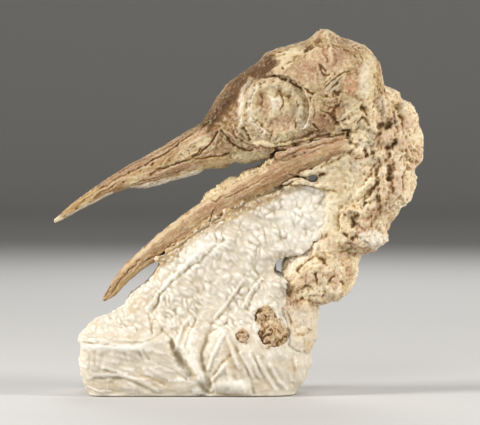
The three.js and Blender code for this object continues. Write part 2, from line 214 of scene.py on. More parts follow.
JAW = (
    Mark(0.35, -0.6, 0.95, ((-27.2, 47.1), (-25.5, 48.5), (-23, 50), (-20.2, 51.4), (-18.1, 53),
         (-16, 54.8), (-13.2, 56.7), (-10.4, 58.1))),
    Mark(0.25, -0.35, 0.6, ((-10.4, 58.1), (-9.7, 59.8), (-9, 61.2), (-8.7, 63.7), (-8, 64.8))),
    Mark(0.3, -0.5, 0.9, ((-9, 59.5), (-6.9, 60.9), (-5.5, 61.9))),
    Mark(0.3, -0.4, 0.8, ((-8.7, 59.1), (-6.6, 59.8), (-4.5, 60.5))),
    Mark(0.8, -0.35, 0.55, ((2.4, 66.5), (4.3, 67.2), (7.1, 68.4), (9.5, 69.5), (12, 70.4), (14.8, 71.5))),
    Mark(0.4, -0.4, 0.7, ((1.8, 66.3), (5.7, 68), (10.7, 70), (16.5, 72.5))),
    Mark(0.4, -0.5, 0.6, ((16.5, 72.4), (19, 73.8), (21.8, 74.9))),
    Mark(0.8, -0.2, 0.5, ((-1, 64.2), (1.8, 65.5))),
    Mark(0.25, -0.3, 0.6, ((-31.8, 46.2), (-27.9, 48.6), (-24.4, 50.9))),
    Mark(0.25, -0.3, 0.5, ((-24.4, 50.8), (-23, 52.5), (-20.9, 53.2))),
    Mark(0.3, -0.3, 0.5, ((-9, 67.5), (-7.3, 66.8), (-5.9, 68.6), (-5.2, 69.3))),
    Mark(0.3, -0.3, 0.5, ((17.9, 76.3), (20, 75.9), (21.4, 77.3), (23.5, 78.4))),
    Mark(0.5, -0.4, 0.5, ((28.8, 79.1), (32.3, 80.7), (35.8, 82.2), (39.3, 84.3))),
    Mark(0.3, -0.3, 0.35, ((-44, 35), (-41.2, 39.2), (-37.7, 43), (-34.2, 46.2))),
    Mark(0.3, -0.35, 0.5, ((-46.1, 33.9), (-44.7, 36.8))),
    Mark(0.3, -0.25, 0.3, ((-4.5, 67.9), (0.8, 70.7), (6.4, 73.5), (12, 77))),
)

NECK = (
    Mark(0.25, -0.3, 0.75, ((16.5, 72.6), (19.3, 72.6), (22.5, 72.3), (26, 71.8), (28.8, 71.2),
         (33.3, 70.5))),
    Mark(0.4, -0.9, 0.95, ((27, 75.2), (28.4, 75.6), (29.9, 76.3))),
    Mark(0.5, -0.5, 0.45, ((36.8, 63), (37.9, 64.4), (40, 65.5), (41.7, 64.8))),
    Mark(0.4, -0.5, 0.6, ((36.5, 59.8), (36.8, 62.3))),
    Mark(0.7, -0.8, 0.9, ((39.5, 58.8), (40, 60.5), (41.7, 61.6))),
    Mark(0.5, -0.7, 0.9, ((37, 55.6), (38.2, 54.9))),
    Mark(0.6, -0.5, 0.7, ((39.6, 54.2), (41.4, 54.9))),
    # Broad dip in the throat hollow, darkened as painted shade.
    Mark(1.5, -0.5, 0.3, ((37.2, 58.1), (38.2, 56.7))),
    Mark(0.3, -0.3, 0.6, ((44.5, 54.6), (44.7, 54.6))),
    Mark(0.3, -0.3, 0.5, ((44.2, 53.2), (44.9, 52.5))),
    Mark(0.5, -0.6, 0.5, ((50.5, 75.6), (48, 73.1), (45.6, 70.7), (43.5, 68.9), (41.7, 67.5))),
    Mark(0.6, -0.6, 0.6, ((51.5, 92.4), (52.6, 93.4), (53.6, 94.1))),
    Mark(0.6, -0.8, 0.8, ((48.7, 92.9), (49.8, 93.6))),
    Mark(0.5, -0.6, 0.6, ((51.9, 85), (52.9, 85.8), (54.3, 87.1))),
    Mark(0.4, -0.6, 0.7, ((54.7, 88.5), (54.3, 87.1))),
    Mark(0.35, -0.4, 0.6, ((52.6, 83.3), (52.8, 82.9))),
    Mark(0.4, -0.6, 0.8, ((52.9, 78.4), (53.3, 76.6), (52.4, 74.5))),
    Mark(0.5, -0.7, 0.7, ((49.1, 81.5), (49.1, 78.4), (48.4, 75.6))),
    Mark(0.3, -0.4, 0.7, ((53.3, 74.2), (53.3, 70))),
    Mark(0.4, -0.5, 0.6, ((48.7, 71.4), (48.4, 68.6), (49.1, 67.2))),
    Mark(0.35, -0.4, 0.5, ((47.3, 79.4), (46.3, 76.6))),
    Mark(0.35, -0.4, 0.4, ((58.2, 79.4), (57.5, 75.6), (57.1, 72.8))),
    Mark(0.4, -0.4, 0.5, ((61, 84.7), (60.3, 82.2))),
    Mark(0.3, -0.35, 0.5, ((62.4, 84), (62.7, 82.2))),
    Mark(0.35, -0.4, 0.6, ((44.2, 74.5), (45.6, 75.9))),
    Mark(0.5, -0.5, 0.6, ((45.2, 61.2), (46.3, 62.3))),
    Mark(0.4, -0.4, 0.5, ((43.8, 65.8), (47, 67.2), (49.4, 68.6))),
    Mark(0.7, 0.5, 0.0, ((50.8, 80.1), (51.2, 74.2), (50.5, 68.2))),
    Mark(0.7, 0.5, 0.0, ((55, 81.9), (55.4, 74.9), (54.7, 68.6))),
    Mark(0.6, 0.4, 0.0, ((46.3, 74.2), (43.5, 71), (41.4, 68.6))),
    Mark(0.5, 0.4, 0.0, ((47, 65.1), (44.9, 59.5))),
    Mark(0.5, -0.4, 0.4, ((49.8, 65.5), (48.4, 62.3), (46.3, 58.8))),
    Mark(0.22, -0.8, 1.0, ((44.4, 84.9), (44.9, 83.8), (44.4, 82.6))),
    Mark(0.9, -0.3, 0.5, ((36.1, 51.1), (37.9, 52.1))),
    Mark(0.7, -0.2, 0.35, ((39.3, 50.4), (41.7, 51.8))),
    Mark(0.6, -0.6, 0.3, ((57.1, 102.5), (54.3, 100.4))),
    Mark(0.6, -0.7, 0.3, ((63.1, 80.1), (59.6, 81.2))),
    Mark(0.6, -0.5, 0.4, ((54, 102.2), (55.7, 99.4), (56.8, 95.2))),
    Mark(0.8, 0.5, 0.0, ((56.8, 98), (58.9, 93.4), (59.2, 88.2))),
    Mark(0.6, -0.5, 0.4, ((59.6, 90.3), (59.9, 87.5))),
    Mark(0.35, -0.3, 0.5, ((38.6, 84), (40.7, 85.4), (42.1, 88.2))),
    Mark(0.35, -0.35, 0.5, ((40.7, 81.9), (43.5, 82.6), (47, 84))),
    Mark(1.0, 1.1, 0.0, ((43.4, 62.6), (41.6, 64.4), (39.2, 64.7), (37.1, 63.2), (36.4, 60.8), (37, 58.4),
         (38.9, 57))),
    Mark(0.9, -0.6, 0.3, ((42.4, 65.8), (39.2, 66.4), (36, 64.8), (34.8, 61.4), (35.4, 58))),
    Mark(1.5, -1.1, 0.35, ((40.2, 60.8), (40.8, 59.4))),
    Mark(1.7, 1.0, 0.0, ((52.7, 89.2), (53.1, 88.8))),
    Mark(1.6, -1.2, 0.4, ((50.2, 92.6), (52.8, 94))),
    Mark(1.4, -1.2, 0.4, ((51.8, 85.2), (53.6, 86.8))),
    Mark(1.0, -1.0, 0.3, ((52.8, 78.8), (52.5, 75))),
    Mark(1.1, 0.9, 0.0, ((49.6, 83), (49.6, 77), (48.9, 70))),
    Mark(1.2, 0.9, 0.0, ((55.8, 84), (55.9, 78), (55.2, 71))),
    Mark(0.9, -0.7, 0.2, ((58.2, 84.4), (58, 78), (57, 72))),
    Mark(0.9, 0.8, 0.0, ((47.2, 74.8), (45.2, 71.6), (43.2, 68.8))),
    Mark(0.8, -0.8, 0.4, ((48.2, 72.8), (45.8, 70), (44, 67.6))),
    Mark(2.2, 0.9, 0.0, ((58, 99.6), (59.4, 97))),
    Mark(1.2, -0.7, 0.3, ((55.6, 103), (54.8, 99), (56, 95.4))),
    Mark(1.9, 0.9, 0.0, ((49, 102), (50.4, 99.6))),
    Mark(0.4, -0.4, 0.5, ((47.7, 86.1), (49.1, 88.2), (49.4, 91))),
)

LOWER_NECK = (
    Mark(0.3, -0.5, 0.85, ((20.4, 42.7), (22.1, 44.4), (24.2, 46.5), (26.3, 48.1))),
    Mark(0.5, -0.5, 0.55, ((24.6, 50), (26, 52.5), (28.1, 54.2), (30.9, 55.3))),
    Mark(0.7, -0.6, 0.7, ((28.1, 47.9), (29.8, 46.2), (30.9, 44.8))),
    Mark(0.45, -0.7, 0.9, ((27, 41.6), (27.4, 39.9))),
    Mark(0.3, -0.4, 0.8, ((27.4, 38.8), (27.4, 38.5))),
    Mark(0.35, -0.5, 0.8, ((31.6, 39.5), (32.6, 40.9))),
    Mark(0.4, -0.6, 0.8, ((36.1, 39.2), (37.2, 37.8))),
    Mark(0.35, -0.4, 0.6, ((29.8, 34.3), (29.5, 33.6))),
    Mark(0.25, -0.3, 0.4, ((35.8, 42), (37.9, 39.2))),
    Mark(0.3, -0.3, 0.4, ((36.1, 45.5), (38.6, 42.7))),
    Mark(0.5, -0.8, 0.85, ((13.7, 39.5), (14.3, 37.1), (14.1, 33.9), (13.4, 31.1), (13, 30.1))),
    Mark(1.6, -0.3, 0.5, ((16.9, 35.3), (19, 35.7))),
    Mark(0.9, -0.2, 0.5, ((19, 31.1), (20.4, 31.5))),
    Mark(0.3, -0.4, 0.8, ((15.1, 29.7), (15.5, 29.7))),
    Mark(0.7, -0.4, 0.6, ((21.4, 21.3), (23.2, 21), (24.9, 22.4))),
    Mark(0.8, -0.2, 0.35, ((19, 24.8), (19.7, 23.4))),
    Mark(0.3, -0.3, 0.4, ((17.6, 29), (18.6, 25.9), (18.3, 23.1))),
    Mark(0.6, -0.5, 0.3, ((42.1, 47.2), (39.3, 49), (35.8, 49.7))),
    Mark(0.7, -0.6, 0.35, ((28.1, 31.5), (25.3, 32.2), (22.5, 32.9))),
    Mark(0.35, -0.4, 0.6, ((21.1, 36.4), (23.2, 37.8), (25.3, 37.1))),
)

CLODS = (
    Mark(0.6, -0.9, 0.95, ((7.8, 29.6), (5.9, 28), (5.5, 25.5), (6.7, 23.4))),
    Mark(0.8, -0.9, 0.9, ((8.3, 22), (8.3, 19.6), (8.8, 17.5))),
    Mark(0.4, -0.5, 0.8, ((9.2, 28), (9.9, 27.3))),
    Mark(0.4, -0.5, 0.8, ((11.3, 23.4), (12, 22.8))),
    Mark(0.45, -0.7, 1.0, ((14.1, 22.6), (14.4, 22))),
    Mark(0.55, -0.6, 0.9, ((9.5, 20.3), (10.6, 21.3))),
    Mark(0.45, -0.5, 0.9, ((10.2, 17.8), (10.9, 18.2))),
    Mark(0.4, -0.6, 0.9, ((15.1, 18.9), (16.2, 19.9), (17.2, 21))),
    Mark(0.9, -0.5, 0.7, ((13.4, 16.8), (14.4, 17.8), (15.8, 19.2))),
    Mark(0.4, -0.4, 0.6, ((8.8, 23.1), (10.6, 24.5))),
    Mark(0.35, -0.4, 0.7, ((12, 16.1), (13, 14.7))),
    Mark(0.35, -0.4, 0.7, ((16.9, 17.5), (17.6, 18.2))),
    Mark(0.4, -0.4, 0.7, ((0.1, 22), (1.8, 22))),
    Mark(0.35, -0.3, 0.5, ((-0.3, 20.3), (0.4, 17.8), (1.8, 16.3))),
)

WEB = (
    # Long groove beside its ridge, faintly darkened as painted shadow.
    Mark(0.5, -0.4, 0.1, ((-30, 28.7), (-27.9, 31.5), (-27.2, 34.6), (-23.7, 38.1), (-20.2, 41.6),
         (-16.7, 44.1), (-13.2, 46.2), (-9.7, 49.7), (-6.9, 52.1), (-4.8, 53.9))),
    Mark(0.7, 0.5, 0.0, ((-31.4, 29.4), (-28.6, 33.6), (-24.4, 38.5), (-20.2, 42.7), (-15, 47.6),
         (-10.4, 51.1))),
    Mark(0.33, 0.5, 0.0, ((-8, 26.6), (-4.5, 31.1), (-1, 35.7), (1.8, 39.9))),
    Mark(0.35, -0.3, 0.2, ((-6.9, 25.9), (-3.1, 31.5), (0.8, 36.8))),
    Mark(0.33, 0.5, 0.0, ((1.8, 30.1), (3.9, 34.6), (6, 37.8), (8.5, 39.9))),
    Mark(0.35, -0.3, 0.2, ((3.2, 30.1), (5.3, 34.3), (7.8, 37.4))),
    Mark(0.3, -0.5, 0.8, ((-7.6, 52.8), (-7.4, 52.8))),
    Mark(0.3, -0.4, 0.7, ((-20.9, 47.9), (-20.7, 47.6))),
    Mark(0.3, -0.4, 0.8, ((1.5, 39.7), (1.7, 39.7))),
    Mark(0.3, -0.4, 0.8, ((8.1, 39.4), (8.3, 39.4))),
    # The main fold's groove, faintly darkened as painted shade.
    Mark(1.1, -1.2, 0.15, ((-23.4, 18.5), (-21.6, 15.7), (-19.9, 12.9), (-17.4, 10.1), (-15.3, 7.3),
         (-13.2, 4.5), (-11.1, 2.1), (-9.4, 0))),
    Mark(1.1, -0.85, 0.12, ((-9, 24.5), (-10.8, 19.9), (-12.5, 15.4), (-12.5, 11.2), (-11.1, 7),
         (-9.7, 2.8))),
    Mark(0.45, 0.7, 0.0, ((-8.7, 5.6), (-6.9, 8), (-4.1, 10.8))),
    Mark(0.5, 0.7, 0.0, ((-10.1, 9.4), (-8.7, 13.6), (-6.6, 17.5), (-4.8, 20.3))),
    Mark(0.5, -0.4, 0.3, ((-8.3, 7.3), (-6.2, 10.5), (-2.7, 14))),
    Mark(0.5, -0.4, 0.4, ((-0.6, 16.4), (1.8, 12.6), (3.9, 8.4), (5, 4.2), (5.7, 0.3))),
    Mark(0.6, 0.5, 0.0, ((-3.4, 19.6), (-1.7, 14.7), (0.4, 9.8))),
    Mark(0.5, 0.45, 0.0, ((0.8, 14.7), (3.2, 10.5), (5, 7))),
    Mark(0.4, 0.4, 0.0, ((4.3, 14), (6.4, 9.8), (7.8, 6.3))),
    Mark(0.6, -0.25, 0.1, ((5.3, 14.7), (7.4, 10.1), (8.8, 6.3))),
    Mark(0.5, 0.4, 0.0, ((7.1, 13.3), (9.5, 7.7), (13, 2.4))),
    Mark(0.7, -0.25, 0.1, ((8.8, 13.3), (11.3, 7.7), (15.1, 2.1))),
    Mark(0.5, 0.3, 0.0, ((11.3, 10.5), (14.1, 5.6), (16.9, 2.1))),
    Mark(0.5, -0.2, 0.2, ((19, 12.2), (19.7, 8.4), (19, 4.2))),
    Mark(0.4, -0.4, 0.35, ((-31.1, 28.3), (-30.4, 25.2), (-29.7, 21.7))),
    Mark(0.6, 0.6, 0.0, ((-16.7, 26.9), (-19.2, 23.4), (-20.9, 18.9), (-21.6, 16.1))),
    Mark(0.5, -0.5, 0.35, ((-26.2, 22.8), (-23.7, 20.6), (-21.6, 17.5))),
    Mark(1.6, 0.6, 0.0, ((-27.2, 26.9), (-24.4, 24.5))),
    Mark(2.0, 0.5, 0.0, ((-2, 4.2), (1.5, 3.1))),
    Mark(0.4, -0.35, 0.3, ((-14.6, 25.9), (-16.7, 21.7), (-18.1, 16.4))),
    Mark(0.5, -0.4, 0.3, ((-9, 21.7), (-6.9, 23.4), (-4.1, 24.5))),
)

FOOT = (
    Mark(0.5, -0.3, 0.2, ((-51.7, 20.6), (-46.5, 20.5), (-41.9, 19.2), (-37.7, 18.7), (-33.5, 18.5),
         (-30, 19.9), (-26.5, 22))),
    Mark(1.0, 0.5, 0.0, ((-53.8, 17), (-48.2, 17), (-41.2, 16.8), (-34.2, 16.4))),
    Mark(0.22, -0.3, 0.3, ((-53.8, 18.7), (-50, 18.2), (-45.4, 17.8), (-41.9, 17.5))),
    Mark(0.7, 0.4, 0.0, ((-49.6, 7), (-41.2, 7.5), (-34.2, 5.6), (-30.7, 3.8), (-27.9, 1.8))),
    Mark(0.6, -0.35, 0.2, ((-49.6, 5.9), (-41.2, 6.3), (-34.9, 4.5), (-31.4, 2.8))),
    Mark(0.5, -0.3, 0.4, ((-37.7, 7.7), (-30.7, 6.6), (-25.5, 3.8))),
    Mark(0.35, 0.3, 0.0, ((-52.4, 3.1), (-48.2, 1.8), (-44, 1.4))),
    Mark(0.3, -0.35, 0.4, ((-32.8, 16.1), (-30.7, 12.9))),
    Mark(0.3, -0.3, 0.35, ((-34.2, 15), (-32.5, 12.2))),
    Mark(0.6, -0.25, 0.1, ((-51, 14), (-51.7, 8.4))),
    Mark(0.5, -0.2, 0.1, ((-49.2, 15.2), (-49.4, 10.6))),
    Mark(0.7, -0.25, 0.1, ((-46.9, 14), (-47.9, 9.2))),
    Mark(0.4, -0.3, 0.3, ((-39.1, 15), (-38.1, 11.9))),
    Mark(0.3, 0.3, 0.0, ((-46.5, 9.8), (-39.5, 8), (-34.2, 7.3))),
    Mark(0.3, -0.25, 0.3, ((-27.2, 11.2), (-22, 9.1), (-17.4, 5.6))),
)

# Broad swells of the plaster's folds, cut without ragged edges.

SWELLS = (
    Mark(3.2, 1.9, 0.0, ((-16.0, 21), (-16.8, 17), (-15.2, 12), (-12.6, 7))),
    Mark(4.2, 2.3, 0.0, ((-5.6, 19), (-6.0, 15), (-5.0, 10), (-4, 5))),
    Mark(2.2, 0.7, 0.0, ((-7.0, 3.4), (-3.4, 2.8), (0.6, 3.6))),
)

# Ovals and stripes of other colours.

PATCHES = (
    Patch(Tone.WHITE, 0.9, 3.6, 82.4, 4.5, 1.4, 8),
    Patch(Tone.STONE, 1.0, 3.6, 82.2, 7.7, 2.1, 8),
    Patch(Tone.STONE, 0.9, -8.3, 79.8, 4.9, 1.4, 8),
    Patch(Tone.TAN, 0.5, -8.3, 79.4, 4.5, 1.4, 10),
    Patch(Tone.WHITE, 0.9, -21.6, 74.7, 9.1, 0.9, 16),
    Patch(Tone.STONE, 0.9, -16.7, 86.1, 6.4, 3.0, 35),
    Patch(Tone.STONE, 0.7, -11.5, 87.5, 3.1, 1.8, 20),
    Patch(Tone.STONE, 0.75, 13.4, 99.4, 12.6, 11.5, 0),
    Patch(Tone.STONE, 0.6, -35.5, 75.2, 5, 1.6, 30),
    Patch(Tone.WHITE, 0.25, -63.2, 60.6, 1.5, 1.2, 45),
    Patch(Tone.GREY, 0.45, 43.4, 88.6, 3.6, 4, 0),
    Patch(Tone.WHITE, 0.35, 41.6, 86.2, 3.4, 2, 20),
    Patch(Tone.STONE, 0.6, 33, 64, 7, 9, 10),
    Patch(Tone.PINK, 0.8, 15.6, 94.4, 6.4, 3.0, 12),
    Patch(Tone.BROWN, 0.72, -7.2, 97.5, 5.4, 2.1, 60),
    Patch(Tone.BROWN, 0.74, -1.4, 105.6, 5.8, 2.0, 50),
    Patch(Tone.BROWN, 0.66, 6.4, 112.2, 5.4, 1.7, 33),
    Patch(Tone.WHITE, 0.5, 13, 101.1, 1.8, 2.8, 0),
    Patch(Tone.PINK, 0.75, 8.9, 100.8, 2.3, 4.4, 10),
    Patch(Tone.TAN, 0.5, 18.2, 101.6, 1.8, 2.6, 0),
    Patch(Tone.GREY, 0.5, 21.8, 96.9, 3.1, 4.9, 0),
    Patch(Tone.WHITE, 0.6, 23.2, 93.4, 1.4, 1.4, 0),
    Patch(Tone.WHITE, 0.3, 1.6, 102.2, 0.8, 5.0, 0),
    Patch(Tone.PINK, 0.6, 23.9, 112, 4.9, 4.9, 0),
    Patch(Tone.PINK, 0.9, 31.3, 116.4, 5.9, 4.2, 0),
    Patch(Tone.RUST, 0.75, 39.3, 107.1, 3.1, 3.1, 30),
    Patch(Tone.GREY, 0.6, 33, 107.1, 4.2, 1.8, 40),
    Patch(Tone.STONE, 0.7, 44.9, 109.9, 3.1, 8.4, -8),
    Patch(Tone.WHITE, 0.35, 43.8, 109.2, 1.4, 7, -5),
    Patch(Tone.STONE, 0.9, 18.3, 117.9, 7.7, 1.8, 12),
    Patch(Tone.STONE, 0.9, 15.8, 114.1, 4.9, 1.8, 35),
    Patch(Tone.RUST, 0.6, 29.5, 94.5, 4.2, 3.1, -20),
    Patch(Tone.RUST, 0.5, 33.3, 98, 1.8, 3.1, 0),
    Patch(Tone.STONE, 0.8, 41, 95.2, 5.6, 7.7, 0),
    Patch(Tone.BROWN, 0.4, 49.1, 100.4, 1.8, 1.8, 0),
    Patch(Tone.WHITE, 0.9, 46.6, 53.9, 5.2, 3.1, -10),
    Patch(Tone.TAN, 0.7, 35.1, 74.2, 2.8, 5.6, 0),
    Patch(Tone.PINK, 0.5, 30.9, 53.2, 2.8, 3.5, 20),
    Patch(Tone.PINK, 0.5, 26, 40.9, 4.9, 2.8, 0),
    Patch(Tone.PINK, 0.3, 51.2, 65.5, 3.1, 4.9, 10),
    Patch(Tone.PINK, 0.3, 55.4, 74.2, 2.4, 5.6, 0),
    Patch(Tone.BROWN, 0.5, 18.3, 35.7, 3.1, 2.4, 0),
    Patch(Tone.BROWN, 0.5, 20, 31.1, 2.1, 1.8, 0),
    Patch(Tone.BROWN, 0.35, 37.5, 51.1, 3.1, 1.8, 20),
    Patch(Tone.TAN, 0.6, 24.6, 17.1, 2.1, 1.8, 0),
    Patch(Tone.GREY, 0.4, 39.3, 79.4, 3.5, 2.8, 0),
    Patch(Tone.TAN, 0.4, 51.5, 60.2, 2.1, 2.4, 0),
    Patch(Tone.WHITE, 0.5, 22.5, 62, 9.5, 11, 0),
    Patch(Tone.STONE, 0.6, 38.8, 86.4, 3.4, 2.4, 20),
    Patch(Tone.WHITE, 0.6, 21.5, 46.6, 7.5, 2.4, 40),
    Patch(Tone.STONE, 0.6, 24.5, 45.5, 7.5, 2.6, 42),
    Patch(Tone.WHITE, 0.6, -13.2, 49.7, 11.9, 4.2, 38),
    Patch(Tone.TAN, 0.35, 2.5, 62.6, 6.3, 1.8, 20),
    Patch(Tone.TAN, 0.3, -2, 57.4, 3.5, 4.2, 0),
    Patch(Tone.TAN, 0.55, -37, 19.9, 2.4, 1, 0),
    Patch(Tone.TAN, 0.45, -46.1, 3.8, 5.9, 1.8, 0),
    Patch(Tone.TAN, 0.4, -29, 4.9, 7.7, 2.1, -20),
    Patch(Tone.TAN, 0.45, -2, 12.6, 4.2, 4.9, 0),
    Patch(Tone.TAN, 0.4, 8.5, 3.1, 3.5, 2.8, 0),
    Patch(Tone.WHITE, 0.7, -42.6, 16.8, 11.9, 1.4, 0),
    Patch(Tone.WHITE, 0.7, -32.1, 17.5, 2.8, 1.8, 0),
    Patch(Tone.GREY, 0.5, 14.1, 12.6, 1.8, 2.1, 0),
    Patch(Tone.TAN, 0.6, 19.3, 10.5, 2.1, 2.8, 0),
    Patch(Tone.TAN, 0.45, -50, 23.8, 2.8, 2.1, 30),
    Patch(Tone.TAN, 0.5, -34.7, 31.1, 4.1, 2.2, 40),
    Patch(Tone.TAN, 0.4, -17.8, 21.7, 1.8, 2.8, 0),
    Patch(Tone.TAN, 0.35, -29, 25.9, 2.8, 3.5, 0),
    Patch(Tone.GREY, 0.3, -24, 33.5, 10, 7, 40),
    Patch(Tone.WHITE, 0.35, -18.5, 43.4, 9.1, 2.1, 40),
    Patch(Tone.WHITE, 0.6, 0.1, 3.5, 4.2, 2.1, 0),
    Patch(Tone.TAN, 0.35, 16.5, 45.5, 1.8, 4.9, 0),
    Patch(Tone.TAN, 0.5, -28.6, 41.3, 1.4, 2.8, 30),
)

BANDS = (
    Band(Tone.BROWN, 0.92, 3.1, ((-11.5, 94.4), (-5.5, 100.7), (-0.8, 106.4), (5.2, 111.8), (10.8, 115.0))),
    Band(Tone.BROWN, 0.6, 1.0, ((-48.2, 71.8), (-37.7, 78.4), (-27.2, 84.4), (-16.7, 90.7), (-11.5, 93.8))),
    Band(Tone.GOLD, 0.5, 1.5, ((-60, 63.2), (-52, 68.2), (-42, 73.2), (-31, 78.4), (-22, 82.4))),
    Band(Tone.PINK, 0.5, 2.0, ((-46, 72.2), (-36, 78.2), (-26, 83.6), (-17, 88.8), (-11, 91.2))),
    Band(Tone.PINK, 0.7, 1.3, ((-31, 75.8), (-22, 78.2), (-12, 80.4))),
    Band(Tone.WHITE, 0.85, 0.45, ((-37, 71.9), (-32.1, 72.2), (-23.7, 74.5), (-13.9, 77.2))),
    Band(Tone.WHITE, 0.6, 0.5, ((-59.5, 61.6), (-52, 65.9), (-44, 69.6))),
    Band(Tone.GOLD, 0.75, 1.1, ((-12.2, 81.4), (-8, 81.7), (-4, 82.2))),
    Band(Tone.UMBER, 0.6, 0.9, ((2, 84.6), (12, 85), (22, 87), (31, 89.6))),
    Band(Tone.BROWN, 0.55, 0.8, ((18, 88.4), (24, 90), (30, 91.4))),
    Band(Tone.PINK, 0.5, 1.2, ((14, 82.6), (22, 84.4), (30, 86.4), (37, 88.2))),
    Band(Tone.STONE, 0.6, 0.7, ((-40, 42.9), (-27.2, 54.6), (-13.2, 65.2), (0.8, 73.4), (10, 78.2))),
    Band(Tone.GOLD, 0.5, 2.4, ((-46.6, 33.2), (-43, 37.4), (-36, 43.6))),
    Band(Tone.UMBER, 0.5, 1.2, ((-46.6, 33.2), (-43, 37.8), (-38, 42.2))),
    Band(Tone.GOLD, 0.4, 0.9, ((-34, 43.6), (-24, 50.6), (-10, 60.2), (4, 67.6), (14, 72.6))),
    Band(Tone.WHITE, 0.4, 0.8, ((4.6, 109.5), (1.6, 105), (0.6, 100), (0.8, 95), (2.6, 90.6))),
    Band(Tone.STONE, 0.7, 1.3, ((1.2, 93), (4.6, 88.6), (11, 86.8), (19, 88.2))),
    Band(Tone.WHITE, 0.55, 0.7, ((6.4, 107), (4.4, 103), (4.2, 98.6), (5.6, 94.4), (9, 91.2))),
    Band(Tone.BROWN, 0.6, 1.6, ((51, 93.6), (53.4, 94.4))),
    Band(Tone.BROWN, 0.55, 1.4, ((51.8, 85), (53.6, 86.8))),
    Band(Tone.BROWN, 0.5, 1.0, ((52.8, 78.6), (52.6, 74.4))),
    Band(Tone.UMBER, 0.4, 1.6, ((49, 81), (49, 75), (47.6, 69))),
    Band(Tone.PINK, 0.5, 2.4, ((48.4, 102), (50.6, 98.6))),
    Band(Tone.PINK, 0.3, 1.8, ((55.6, 84), (55.4, 75), (54.2, 68))),
    Band(Tone.PINK, 0.5, 2.2, ((50.6, 67), (46.4, 61.6), (45, 58))),
    Band(Tone.BROWN, 0.5, 1.5, ((40.2, 60.4), (40.9, 59.2))),
)

BONE_MARKS = (ORBIT, BROW, BRAINCASE, BEAK, JAW, NECK, LOWER_NECK)

# Lines on the side that the carving follows, in x and z.

BEAK_MIDDLE = ((-64.1, 59.7), (-55.2, 65.7), (-38, 75.3), (-23.7, 80.7), (-11.8, 86.4), (4, 91),
               (11, 92))
BEAK_PALE = ((-60, 60.4), (-14, 78.6), (6, 84.4))
JAW_MIDDLE = ((-46.9, 32.5), (-43, 37), (-34.2, 45.6), (-20.2, 56.1), (-6.2, 65.7), (7.8, 72.9),
              (21.8, 80.2), (36, 85.5), (41, 87))
BEAK_EDGE = ((-64.1, 59.2), (-55.2, 64), (-48.2, 67.4), (-38.4, 71.6), (-32.1, 71.8), (-23.7, 74.2),
             (-13.9, 76.8), (-4.8, 78.9), (3.6, 80.5), (11, 82.2))
JAW_EDGE = ((-46.9, 34), (-39.5, 44.4), (-27.2, 55.5), (-13.2, 66.1), (0.8, 74.2), (7.8, 77.5), (13, 81))
JAW_LEDGE = ((-47, 26.0), (-27.2, 46.4), (-13.2, 56.4), (1.8, 66.0), (16.5, 72.3), (33, 79.5))
JAW_BACK = ((14, 72.2), (25, 78), (38, 83))

# Upright lines, in z and x, and single places, in x and z, with a radius where there is a third number.

WEB_EDGE = ((36, 13), (46, 20), (50, 26), (56, 31), (66, 31.5), (73, 29))
FOOT_EDGE = ((0, -10.1), (7, -15), (13.7, -20.6), (20.8, -26))
EYE = (13.4, 99.2)
EYE_RING = (13.4, 98.6, 10.6)
THROAT = (32, 66)
THROAT_HOLE = (26.2, 74.7)
CLOD_RIMS = ((9.6, 26.4, 4.6), (12.2, 19.8, 5.6))

COARSE_PER_METRE = 1400.0
FINE_PER_METRE = 4200.0
BLOTCHES_PER_METRE = 230.0


def ramp(values: np.ndarray, start: float, end: float) -> np.ndarray:
    """Rise smoothly from 0 at start to 1 at end."""
    t = np.clip((values - start) / (end - start), 0, 1)
    return t * t * (3 - 2 * t)


def follow(line: Path, along: np.ndarray) -> np.ndarray:
    """Second coordinate of a line at each value of its first."""
    return np.interp(along, *zip(*line))


def put(name: str, data: bpy.types.ID) -> bpy.types.Object:
    """Make an object and put it in the scene.

    Args:
        name: What to call it.
        data: Its mesh, light or camera.

    Returns:
        The object.
    """
    made = bpy.data.objects.new(name, data)
    bpy.context.scene.collection.objects.link(made)
    return made


def plain_mesh(source: bpy.types.Object, name: str) -> bpy.types.Mesh:
    """Take an object's final mesh as a plain one, and remove the object.

    Args:
        source: The object, with its modifiers.
        name: What to call the mesh.

    Returns:
        The plain mesh.
    """
    bpy.context.view_layer.update()
    graph = bpy.context.evaluated_depsgraph_get()
    made = bpy.data.meshes.new_from_object(source.evaluated_get(graph))
    bpy.data.objects.remove(source)
    made.name = name
    return made


